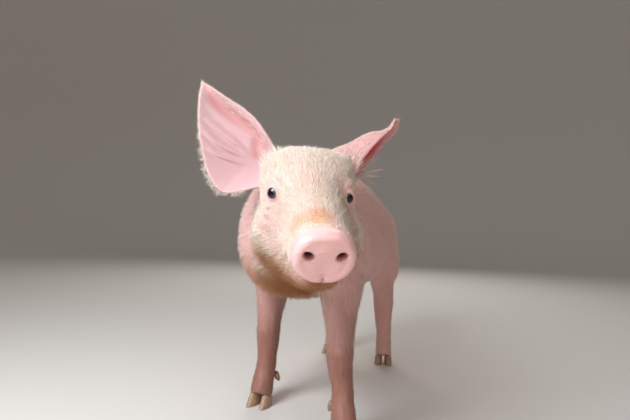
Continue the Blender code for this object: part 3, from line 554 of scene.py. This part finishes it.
# painted shade along each lid's margin, where it meets the ball
for line in lid_margin_shade:
    hollow_shade = np.maximum(hollow_shade, 0.5 * line)
# painted shade and red round each nostril's rim
for rim in nostril_rims:
    flush_shade_and_glow, hollow_shade = np.maximum(flush_shade_and_glow, 0.10 * rim), np.maximum(hollow_shade, 0.22 * rim)
keep(mesh, "hollow_shade", hollow_shade, "FLOAT")
keep(mesh, "flush_shade_and_glow", softened(flush_shade_and_glow, pairs, 2), "FLOAT")


# Skin: the piglet's own hide, thin and soft, pale pink with blood showing through; blotchy at
# arm's length, finely wrinkled close up, a little moist where it is bare
def linear(text):
    """A colour written as sRGB hex, turned to linear."""
    part = [int(text[i:i + 2], 16) / 255 for i in (0, 2, 4)]
    return tuple(c / 12.92 if c <= 0.04045 else ((c + 0.055) / 1.055) ** 2.4 for c in part) + (1.0,)


def add(material, kind, links=(), values=(), **settings):
    """Adds a node: settings are its own choices, values are (input, value), links (input, node, output)."""
    node = material.node_tree.nodes.new(kind)
    for key, value in settings.items():
        setattr(node, key, value)
    for socket, value in values:
        node.inputs[socket].default_value = value
    for socket, source, output in links:
        material.node_tree.links.new(source.outputs[output], node.inputs[socket])
    return node


def new_material(name):
    material = bpy.data.materials.new(name)
    material.use_nodes = True
    material.node_tree.nodes.clear()
    return material


BLOTCHES, WRINKLES, PORES = 42.0, 520.0, 900.0    # to a metre: some 24 mm, 2 mm and 1 mm across
hide = new_material("living_pink_pigskin")
spot = add(hide, "ShaderNodeTexCoord")
marked = add(hide, "ShaderNodeAttribute", attribute_name="markings")
split = add(hide, "ShaderNodeSeparateColor", [(0, marked, "Color")])
blotch = add(hide, "ShaderNodeTexNoise", [("Vector", spot, "Object")], [("Scale", BLOTCHES), ("Detail", 3.0)])
grain = add(hide, "ShaderNodeTexNoise", [("Vector", spot, "Object")], [("Scale", WRINKLES), ("Detail", 4.0)])
tone = add(hide, "ShaderNodeMix", [(0, blotch, 0)],
           [(6, linear("ecc9bc")), (7, linear("dfaea4"))], data_type="RGBA")
rosy = add(hide, "ShaderNodeMix", [(0, split, 0), (6, tone, 2)],
           [(7, linear("d6a0a1"))], data_type="RGBA")
snout = add(hide, "ShaderNodeAttribute", attribute_name="disc")
bare_nose = add(hide, "ShaderNodeMix", [(0, snout, "Fac"), (6, rosy, 2)],
                [(7, linear("f2bfbc"))], data_type="RGBA")
ragged = add(hide, "ShaderNodeMath", [(0, grain, 0)], [(1, 2.4), (2, -0.6)], operation="MULTIPLY_ADD")
dusted = add(hide, "ShaderNodeMath", [(0, split, 1), (1, ragged, 0)], operation="MULTIPLY", use_clamp=True)
yellow = add(hide, "ShaderNodeMix", [(0, dusted, 0), (6, bare_nose, 2)],
             [(7, linear("c8862c"))], data_type="RGBA")
# brown: partly stain, partly painted shade and painted warm bounce light under jaw, throat and chest
brown_stain_and_shade = add(hide, "ShaderNodeMix", [(0, split, 2), (6, yellow, 2)],
            [(7, linear("9e561f"))], data_type="RGBA")
lining = add(hide, "ShaderNodeAttribute", attribute_name="inner_ear")
lined = add(hide, "ShaderNodeMix", [(0, lining, "Fac"), (6, brown_stain_and_shade, 2)],
            [(7, linear("cca5a8"))], data_type="RGBA")
soiled = add(hide, "ShaderNodeMix", [(0, marked, "Alpha"), (6, lined, 2)],
             [(7, linear("8a5645"))], data_type="RGBA")
# red: painted reddish shade in the ear's valley, the eye folds and round the nostrils, and a painted glow of
# light through the rolled left ear over its redder inside
shade_and_glow_red = add(hide, "ShaderNodeAttribute", attribute_name="flush_shade_and_glow")
warm = add(hide, "ShaderNodeMix", [(0, shade_and_glow_red, "Fac"), (6, soiled, 2)],
           [(7, linear("de5a50"))], data_type="RGBA")
# dark: painted shade in the nostrils, the cleft under the disc, the ear's valley, round the nostril rims and
# along the lid margins
cave = add(hide, "ShaderNodeAttribute", attribute_name="hollow_shade")
shaded = add(hide, "ShaderNodeMix", [(0, cave, "Fac"), (6, warm, 2)],
             [(7, linear("66231f"))], data_type="RGBA")
pores = add(hide, "ShaderNodeTexVoronoi", [("Vector", spot, "Object")], [("Scale", PORES)])
relief = add(hide, "ShaderNodeMath", [(0, grain, 0), (1, pores, 0)], operation="ADD")
bump = add(hide, "ShaderNodeBump", [("Height", relief, 0)], [("Strength", 0.35), ("Distance", 0.0003)])
moist = add(hide, "ShaderNodeMath", [(0, snout, "Fac")], [(1, -0.23), (2, 0.52)], operation="MULTIPLY_ADD")
body = add(hide, "ShaderNodeBsdfPrincipled",
           [("Base Color", shaded, 2), ("Normal", bump, 0), ("Roughness", moist, 0)],
           [("Subsurface Weight", 0.16), ("Subsurface Radius", (1.0, 0.35, 0.2)),
            ("Subsurface Scale", 0.004)])
add(hide, "ShaderNodeOutputMaterial", [("Surface", body, 0)])
skin.data.materials.clear()
skin.data.materials.append(hide)
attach(skin, "root")
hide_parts(*FLESH)


# ---------------------------------------------------------------- eyes
# Each eye is a moist ball with a clear bulging front, a dark slate-brown iris and a wide pupil.
# It fills the opening of its lids and looks the way they face.
CORNEA_RISE, CORNEA_EDGE = 0.055, 0.80    # share of the radius it bulges by, and where the bulge starts


def eyeball(side):
    look, slit, rise = LOOK[side]
    ball = bmesh.new()
    bmesh.ops.create_uvsphere(ball, u_segments=48, v_segments=32, radius=EYE_RADIUS)
    for v in ball.verts:   # the cornea stands proud of the ball
        ahead = v.co.normalized().z
        v.co *= 1 + CORNEA_RISE * max(0.0, (ahead - CORNEA_EDGE) / 0.20) ** 0.8
    rows = (slit, rise, look) if slit.cross(rise).dot(look) > 0 else (rise, slit, look)
    turn = Matrix(rows).transposed()
    bmesh.ops.transform(ball, matrix=Matrix.Translation(EYES[side]) @ turn.to_4x4(), verts=ball.verts)
    bmesh.ops.recalc_face_normals(ball, faces=ball.faces)
    name = "eye_ball_left" if side > 0 else "eye_ball_right"
    mesh = as_mesh(name, ball)
    smooth(mesh)
    away = (coordinates(mesh) - np.array(EYES[side])) @ np.array(look)
    keep(mesh, "from_front", np.arccos(np.clip(away / EYE_RADIUS, -1, 1)), "FLOAT")
    return placed(name, mesh)


# Wet eye: glassy cornea over a slate iris, drawn in one glossy surface
wet_eye = new_material("wet_slate_eye")
angle = add(wet_eye, "ShaderNodeAttribute", attribute_name="from_front")
zones = add(wet_eye, "ShaderNodeValToRGB", [(0, angle, "Fac")])
ramp = zones.color_ramp
ramp.elements[0].position, ramp.elements[0].color = 0.0, linear("050507")
ramp.elements[1].position, ramp.elements[1].color = 1.0, linear("b79a90")
EYE_BANDS = (  # pupil, the iris from inside to outside, its dark edge, the white of the eye in shade
    (0.25, "060608"), (0.31, "2c3446"), (0.52, "3d4658"), (0.60, "15151c"), (0.72, "3a2a2a"))
for place, colour in EYE_BANDS:
    stop = ramp.elements.new(place)
    stop.color = linear(colour)
ball = add(wet_eye, "ShaderNodeBsdfPrincipled", [("Base Color", zones, 0)],
           [("Roughness", 0.06), ("IOR", 1.38), ("Coat Weight", 0.5), ("Coat Roughness", 0.03)])
add(wet_eye, "ShaderNodeOutputMaterial", [("Surface", ball, 0)])
for side in (1, -1):
    eye = eyeball(side)
    eye.data.materials.append(wet_eye)
    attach(eye, "root")
    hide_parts("eye_left" if side > 0 else "eye_right")


# ---------------------------------------------------------------- hooves
# Two claws and two raised dewclaws to each foot, of hard brown horn. Each grows down from the skin
# round the end of its toe, and is worn round at the edge by walking.
HORN_NODES = sorted(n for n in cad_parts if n.startswith(("claw_", "dewclaw_")))
HORN_GRAIN = 0.0008       # edge of the finest faces of the horn

# Hoof horn: grown keratin, faintly ringed by its growth, flecked light and dark with ground-in dirt, and
# worn to a dull shine
GROWTH_BANDS = 160.0      # the wave's own scale: its bands lie some 2 mm apart
FLECKS = 260.0            # to a metre: some 4 mm across
horn = new_material("worn_hoof_horn")
spot = add(horn, "ShaderNodeTexCoord")
growth = add(horn, "ShaderNodeTexWave", [("Vector", spot, "Object")],
             [("Scale", GROWTH_BANDS), ("Distortion", 2.0)], bands_direction="Z")
fleck = add(horn, "ShaderNodeTexNoise", [("Vector", spot, "Object")], [("Scale", FLECKS), ("Detail", 4.0)])
tone = add(horn, "ShaderNodeMix", [(0, fleck, 0)],
           [(6, linear("7d5c46")), (7, linear("c2a283"))], data_type="RGBA")
bump = add(horn, "ShaderNodeBump", [("Height", growth, 0)], [("Strength", 0.3), ("Distance", 0.0002)])
shell = add(horn, "ShaderNodeBsdfPrincipled", [("Base Color", tone, 2), ("Normal", bump, 0)],
            [("Roughness", 0.45)])
add(horn, "ShaderNodeOutputMaterial", [("Surface", shell, 0)])
for node in HORN_NODES:
    grown = bmesh.new()
    swollen(node, 0.0, grown)
    piece = placed("horn_" + node, as_mesh("horn_" + node, grown))
    remesh = piece.modifiers.new("grow", "REMESH")
    remesh.mode, remesh.voxel_size = "VOXEL", HORN_GRAIN
    round_off = piece.modifiers.new("wear", "SMOOTH")
    round_off.factor, round_off.iterations = 0.5, 3
    settled(piece)
    smooth(piece.data)
    piece.data.materials.clear()
    piece.data.materials.append(horn)
    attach(piece, "root")
    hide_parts(node)


# ---------------------------------------------------------------- coat
# Soft cream bristles lying back along the animal: close and short on the face, longer on neck, jowl and
# rump, thin over the flanks, fringing the ears; the snout disc and the inside of the ears are bare.
layer = skin.data.uv_layers.new(name="OFBake")
bpy.context.view_layer.objects.active = skin
skin.select_set(True)
bpy.ops.object.mode_set(mode="EDIT")
bpy.ops.mesh.select_all(action="SELECT")
bpy.ops.uv.smart_project(angle_limit=math.radians(70), island_margin=0.001)
bpy.ops.object.mode_set(mode="OBJECT")
skin.select_set(False)
mesh = skin.data
triangles = np.empty(len(mesh.polygons) * 3, np.int64)
mesh.polygons.foreach_get("vertices", triangles)
triangles = triangles.reshape(-1, 3)
unwrap = np.empty(len(mesh.loops) * 2)
mesh.uv_layers["OFBake"].data.foreach_get("uv", unwrap)
unwrap = unwrap.reshape(-1, 3, 2)
corner = places[triangles]
face_area = np.linalg.norm(np.cross(corner[:, 1] - corner[:, 0], corner[:, 2] - corner[:, 0]), axis=1) / 2
dice = np.random.default_rng(21)


def unit(v):
    return v / np.maximum(np.linalg.norm(v, axis=-1, keepdims=True), 1e-12)


d, l, u = on_head(places)
side_of = np.tanh(l / 12.0)[:, None]
F, L, U = (np.array(v) for v in (FORWARD, LEFT, UP))
low_cheek = np.clip((-u - 4) / 26, 0, 1)[:, None]
head_lie = unit(-F * 1.0 + L * side_of * 0.30 + U * 0.25 - U * low_cheek * 1.1)
jaw_lie = unit(-F * 0.8 - U * 0.75 + L * side_of * 0.3)
EAR_BASE = {1: head_at(-0.045, 0.042, 0.002), -1: head_at(-0.045, -0.040, 0.005)}
EAR_TIP = {1: head_at(-0.110, 0.106, 0.053), -1: head_at(-0.106, -0.111, 0.078)}


def ear_lie(side):
    """Away from the ear's root and towards its tip."""
    to_tip = np.array((EAR_TIP[side] - EAR_BASE[side]).normalized())
    return unit(unit(places - np.array(EAR_BASE[side])) * 0.9 + to_tip * 0.5)


x, y, z = places.T
rump = np.clip((y - 0.17) / 0.07, 0, 1)[:, None]
trunk_lie = unit(np.array((0, 1.0, -0.35)) * (1 - rump) + np.array((0, 0.35, -1.0)) * rump)
lie = (share["head"][:, None] * head_lie + share["lower_jaw"][:, None] * jaw_lie
       + share["ear_left"][:, None] * ear_lie(1) + share["ear_right"][:, None] * ear_lie(-1)
       + share["neck"][:, None] * unit(np.array((-0.05, 1.0, -0.45))) + share["trunk"][:, None] * trunk_lie
       + share["tail"][:, None] * np.array((0, 0.4, -0.9))
       + share["upper_leg"][:, None] * unit(np.array((0, 0.45, -1.0)))
       + share["lower_leg"][:, None] * unit(np.array((0, 0.22, -1.0))) - share["snout_disc"][:, None] * F)
ear_root = close_to(places, head_at(-0.060, 0.054, -0.001), 0.016, 0.008)
lie += ear_root[:, None] * (L * 2.4 + U * 0.5)
right_root = close_to(places, head_at(-0.050, -0.040, 0.012), 0.022, 0.010)
lie += right_root[:, None] * (U * 0.6 - L * 1.0)
temple = close_to(places, head_at(-0.030, -0.047, -0.006), 0.017, 0.009)
lie += temple[:, None] * (F * 0.5 - L * 1.6)
EAR_RIMS = {  # the free edges of the ears, millimetres on the head
    "ear_right": [(-25, -60, -10), (-28, -83, -15), (-42, -98, -2), (-62, -107, 19), (-80, -112, 40),
                  (-95, -113, 60), (-107, -111, 77)],
    "ear_left": [(-61, 53, -7), (-75, 67, 3), (-86, 79, 12), (-94, 88, 22), (-99, 96, 29), (-107, 106, 40)]}
rim = np.zeros(len(places))
for ear, points in EAR_RIMS.items():
    edge = bend_through(head_path(points))
    near_edge = np.clip((0.0036 - away_from(places, edge)[0]) / 0.0016, 0, 1) * share[ear]
    rim = np.maximum(rim, near_edge)
    root = EAR_BASE[1 if ear == "ear_left" else -1]
    centre = np.mean([np.array(p) for p in edge], axis=0) * 0.5 + np.array(root) * 0.5
    lie += near_edge[:, None] * unit(places - centre) * 3.0
lie = softened(lie, pairs, 12)
bare = np.clip(share["snout_disc"] * 1.6, 0, 1)
ROOT_DEPTH = 0.0004       # how far a bristle's root sits in the hide, metres
TAPER = (1.0, 0.85, 0.6)  # girth at the start of each joint
UV_RING = 0.0012          # radius of a bristle's spot on the unwrapped hide
PIECE_FACES = 196000      # most triangles in one piece of the coat
LOCKS = ((np.array((410.0, 260, 330)), 0.3), (np.array((-300.0, 470, 210)), 1.9),
         (np.array((240.0, -350, 480)), 4.0))    # waves that make locks: radians to a metre, and phase


def strands(name, thick, length, width, rise, bend, joints, stray=0.16, clump=0.22):
    """Bristles rooted on the hide: thick is how many to a square metre, length and width in metres, rise the
    angle they leave the hide at, bend how much of it they lose by the tip. Returns the finished pieces."""
    expect = face_area * thick[triangles].mean(1)
    face = np.repeat(np.arange(len(face_area)), dice.poisson(expect))
    a, b = dice.random(len(face)), dice.random(len(face))
    flip = a + b > 1
    a[flip], b[flip] = 1 - a[flip], 1 - b[flip]
    weight = np.stack([1 - a - b, a, b], 1)
    tri = triangles[face]

    def here(values):
        return (values[tri] * (weight if values.ndim == 1 else weight[:, :, None])).sum(1)

    root, out, way = here(places), unit(here(facing)), here(lie)
    uv = (unwrap[face] * weight[:, :, None]).sum(1)
    mark = here(marks)
    # locks: neighbouring bristles lean together, and each strays a little on its own
    wave = np.stack([np.sin(root @ pace + phase) for pace, phase in LOCKS], 1)
    way = unit(way) + clump * wave + stray * dice.normal(size=(len(face), 3))
    way = unit(way - out * (way * out).sum(1)[:, None])
    across = np.cross(out, way)
    size = here(length) * dice.uniform(0.65, 1.2, len(face))
    girth = here(width) * dice.uniform(0.8, 1.15, len(face))
    lift = here(rise) * dice.uniform(0.6, 1.4, len(face))
    spine = [root - out * ROOT_DEPTH]
    at = root.copy()
    for j in range(1, joints + 1):
        tilt = lift * (1 - here(bend) * (j - 0.5) / joints)
        at = at + (way * np.cos(tilt)[:, None] + out * np.sin(tilt)[:, None]) * (size / joints)[:, None]
        spine.append(at)
    per = 3 * joints + 1
    points = np.empty((len(face), per, 3))
    for j in range(joints):
        slim = girth * TAPER[j]
        for k in range(3):
            turn = 2 * math.pi * k / 3
            points[:, 3 * j + k] = (spine[j] + across * (slim * math.cos(turn))[:, None]
                                    + out * (slim * math.sin(turn))[:, None])
    points[:, -1] = spine[-1]
    one = [(0, 2, 1)]
    for j in range(joints - 1):
        for k in range(3):
            m = (k + 1) % 3
            one += [(3 * j + k, 3 * j + m, 3 * j + 3 + m), (3 * j + k, 3 * j + 3 + m, 3 * j + 3 + k)]
    one += [(3 * joints - 3 + k, 3 * joints - 3 + (k + 1) % 3, 3 * joints) for k in range(3)]
    one = np.array(one)
    ring = np.array([(math.cos(2 * math.pi * k / 3) * UV_RING, math.sin(2 * math.pi * k / 3) * UV_RING)
                     for _ in range(joints) for k in range(3)] + [(0.0, 0.0)])
    order = np.argsort(root @ np.array((0.3, 1.0, 0.1)))
    limit = PIECE_FACES // len(one)
    made = []
    for start in range(0, len(order), limit):
        chosen = order[start:start + limit]
        verts = points[chosen].reshape(-1, 3)
        faces = (one[None] + per * np.arange(len(chosen))[:, None, None]).reshape(-1, 3)
        tuft = bpy.data.meshes.new(f"{name}_{start // limit + 1}")
        tuft.vertices.add(len(verts))
        tuft.vertices.foreach_set("co", verts.ravel())
        tuft.loops.add(faces.size)
        tuft.loops.foreach_set("vertex_index", faces.ravel().astype(np.int32))
        tuft.polygons.add(len(faces))
        tuft.polygons.foreach_set("loop_start", np.arange(0, faces.size, 3, dtype=np.int32))
        tuft.update(calc_edges=True)
        flat_uv = (uv[chosen][:, None] + ring[None]).reshape(-1, 2)[faces.ravel()]
        tuft.uv_layers.new(name="OFBake").data.foreach_set("uv", np.clip(flat_uv, 0.0005, 0.9995).ravel())
        keep(tuft, "markings", np.repeat(mark[chosen], per, 0))
        keep(tuft, "strand", np.repeat(dice.random(len(chosen)), per), "FLOAT")
        tuft.validate()
        smooth(tuft)
        made.append(placed(tuft.name, tuft))
    return made


# Bristle: cream, hollow-looking, a little glossy; straw where the hide is dusty, brown where it is stained
# and painted with underside shade
bristle = new_material("cream_piglet_bristle")
marked = add(bristle, "ShaderNodeAttribute", attribute_name="markings")
split = add(bristle, "ShaderNodeSeparateColor", [(0, marked, "Color")])
strand = add(bristle, "ShaderNodeAttribute", attribute_name="strand")
tone = add(bristle, "ShaderNodeMix", [(0, strand, "Fac")],
           [(6, linear("fff9ee")), (7, linear("f6dfca"))], data_type="RGBA")
rosy = add(bristle, "ShaderNodeMix", [(0, split, 0), (6, tone, 2)],
           [(7, linear("f3d3ca"))], data_type="RGBA")
yellow = add(bristle, "ShaderNodeMix", [(0, split, 1), (6, rosy, 2)],
             [(7, linear("d69d42"))], data_type="RGBA")
# brown: stain and painted underside shade under jaw, throat and chest
brown_stain_and_shade = add(bristle, "ShaderNodeMix", [(0, split, 2), (6, yellow, 2)],
            [(7, linear("b06f30"))], data_type="RGBA")
soiled = add(bristle, "ShaderNodeMix", [(0, marked, "Alpha"), (6, brown_stain_and_shade, 2)],
             [(7, linear("9b7a60"))], data_type="RGBA")
fibre = add(bristle, "ShaderNodeBsdfPrincipled", [("Base Color", soiled, 2)], [("Roughness", 0.48)])
add(bristle, "ShaderNodeOutputMaterial", [("Surface", fibre, 0)])

# where it grows: each share is 0 to 1 over the hide
flat = np.ones(len(places))
eye_gap = np.minimum(*(np.linalg.norm(places - np.array(EYES[side]), axis=1) for side in (1, -1)))
near_eye = np.clip((0.0130 - eye_gap) / 0.0030, 0, 1)
hairy = (1 - bare) * (1 - np.clip(inner * 2.2, 0, 1)) * (1 - near_eye)
on_face = (share["head"] + share["lower_jaw"]) * hairy
poll = np.clip((-d - 20) / 30, 0, 1) * share["head"]
jowl = np.clip((-u - 20) / 25, 0, 1) * (share["head"] + share["lower_jaw"])
muzzle = np.clip((d - 40) / 40, 0, 1)
ears = (share["ear_left"] + share["ear_right"]) * hairy
valley_line = np.array(bend_through(valley))
nearest = valley_line[np.argmin(np.linalg.norm(places[:, None] - valley_line[None], axis=2), axis=1)]
front_band = (np.clip((places - nearest) @ (L * 0.75 + U * 0.65) / 0.004, 0, 1) * share["ear_right"]
              * np.clip(inner, 0, 1))
tufted = close_to(places, head_at(-0.045, 0.044, 0.012), 0.026, 0.014) * hairy
cropped = close_to(places, head_at(-0.048, -0.042, 0.020), 0.024, 0.010)
temple *= hairy
brow_top = (share["head"] * np.clip((d + 70) / 20, 0, 1) * np.clip((78 - d) / 20, 0, 1)
            * np.clip((facing @ U) * 2, 0, 1))
eye_skin = np.clip((0.024 - eye_gap) / 0.008, 0, 1)
coat_pieces = strands(
    "coat_face",
    thick=((560000 * on_face + 400000 * ears + 260000 * front_band) * (1 - 0.45 * eye_skin)
           + 100000 * tufted + 160000 * temple + 320000 * brow_top * hairy),
    length=((0.0078 * flat - 0.0040 * muzzle + 0.0008 * poll + 0.0038 * jowl
             - 0.0034 * np.clip(ears + front_band, 0, 1) + 0.003 * tufted + 0.0035 * temple)
            * (1 - 0.35 * eye_skin) * (1 - 0.35 * cropped)),
    width=0.000115 * flat - 0.00001 * muzzle,
    rise=0.28 * flat + 0.06 * poll + 0.24 * jowl + 0.22 * tufted + 0.25 * temple - 0.1 * cropped,
    bend=0.7 * flat, joints=2, stray=0.13, clump=0.10)
coat_pieces += strands(
    "bristles_face",
    thick=(110000 * on_face + 60000 * jowl * hairy) * (1 - 0.6 * eye_skin) + 90000 * tufted,
    length=(0.0100 * flat - 0.0058 * muzzle + 0.0030 * jowl + 0.002 * tufted) * (1 - 0.4 * eye_skin),
    width=0.00018 * flat - 0.00003 * muzzle,
    rise=0.38 * flat + 0.10 * poll + 0.22 * jowl + 0.25 * tufted + 0.45 * cropped,
    bend=0.6 * flat, joints=3, stray=0.20, clump=0.16)
on_neck = share["neck"]
on_body = share["trunk"] + share["upper_leg"] * 0.9 + share["tail"]
coat_pieces += strands(
    "coat_body",
    thick=130000 * on_neck + 90000 * on_body,
    length=0.0105 * flat + 0.002 * on_neck, width=0.00015 * flat,
    rise=0.20 * flat + 0.12 * on_neck, bend=0.9 * flat, joints=3, stray=0.12, clump=0.14)
coat_pieces += strands(
    "coat_legs",
    thick=180000 * share["lower_leg"],
    length=0.0052 * flat, width=0.00013 * flat, rise=0.26 * flat, bend=0.8 * flat, joints=2)
low_rim = rim * np.clip((0.32 - z) / 0.06, 0, 1) * share["ear_right"]
coat_pieces += strands(
    "coat_ear_fringe",
    thick=420000 * rim + 260000 * low_rim,
    length=0.0030 * flat + 0.0058 * low_rim, width=0.00014 * flat,
    rise=0.35 * flat, bend=0.3 * flat, joints=3, stray=0.36)
# long feelers: a few on chin, cheek, muzzle and brow, and a spray at the root of the left ear
brow = np.exp(-((eye_gap - 0.019) / 0.004) ** 2) * np.clip(u / 8, 0, 1)
coat_pieces += strands(
    "feelers",
    thick=5000 * on_face * np.clip(jowl + muzzle, 0, 1) + 26000 * brow * on_face + 230000 * ear_root,
    length=0.014 * flat + 0.015 * ear_root, width=0.00014 * flat + 0.00015 * ear_root,
    rise=0.75 * flat, bend=0.25 * flat, joints=3, stray=0.35)
total = 0
for piece in coat_pieces:
    piece.data.materials.append(bristle)
    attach(piece, "root")
    total += len(piece.data.polygons)
print("coat", len(coat_pieces), "pieces", total, "triangles")


# ---------------------------------------------------------------- studio
# A plain pale floor and soft lamps; nothing here belongs to the animal.
# The floor is a round sheet that bends up into a wall, metres.
FLOOR_FLAT, FLOOR_BEND, FLOOR_TOP = 3.0, 1.6, 4.5
turns = [math.radians(9 * k) for k in range(1, 11)]
bent = [(FLOOR_FLAT + FLOOR_BEND * math.sin(a), 0, FLOOR_BEND - FLOOR_BEND * math.cos(a)) for a in turns]
outline = [(0.0, 0, 0), (FLOOR_FLAT, 0, 0)] + bent + [(FLOOR_FLAT + FLOOR_BEND, 0, FLOOR_TOP)]
floor_mesh = bmesh.new()
profile = [floor_mesh.verts.new(p) for p in outline]
edges = [floor_mesh.edges.new(pair) for pair in zip(profile, profile[1:])]
bmesh.ops.spin(floor_mesh, geom=profile + edges, cent=(0, 0, 0), axis=(0, 0, 1), angle=2 * math.pi, steps=64,
               use_merge=True, use_duplicate=False)
bmesh.ops.remove_doubles(floor_mesh, verts=floor_mesh.verts, dist=1e-5)
floor = placed("studio_floor", as_mesh("studio_floor", floor_mesh))
smooth(floor.data)
pale = new_material("pale_studio_paper")
sheet = add(pale, "ShaderNodeBsdfPrincipled", (), [("Base Color", linear("d8d4cf")), ("Roughness", 0.9)])
add(pale, "ShaderNodeOutputMaterial", [("Surface", sheet, 0)])
floor.data.materials.append(pale)
world = bpy.data.worlds.new("studio")
bpy.context.scene.world = world
world.use_nodes = True
sky = world.node_tree.nodes["Background"]
sky.inputs["Color"].default_value = linear("f6efec")
sky.inputs["Strength"].default_value = 0.32


def lamp(name, place, aim, size, power, tint):
    """A round lamp of a size in metres and a power in watts, turned towards aim."""
    light = bpy.data.lights.new(name, "AREA")
    light.shape, light.size, light.energy, light.color = "DISK", size, power, linear(tint)[:3]
    shade = placed(name, light)
    shade.location = place
    shade.rotation_euler = (Vector(aim) - Vector(place)).to_track_quat("-Z", "Y").to_euler()


lamp("key_lamp", (-0.30, -0.70, 0.68), (0.02, -0.20, 0.24), 0.45, 8.4, "f1f9ff")
lamp("fill_lamp", (1.3, -1.3, 0.8), (0.0, 0.0, 0.2), 1.2, 5.2, "fff4ee")
lamp("back_lamp", (-0.4, 1.6, 1.4), (0.0, 0.1, 0.2), 1.2, 14.0, "fffdfa")
lamp("low_lamp", (-0.15, -2.60, 0.75), (0.0, -0.20, 0.25), 0.9, 9.0, "fffdfa")
lamp("catch_lamp", CAMERA_PLACE + camera_up * 0.30 - camera_right * 0.16, BETWEEN_EYES, 0.05, 0.22, "ffffff")
bpy.context.scene.view_settings.view_transform = "Standard"
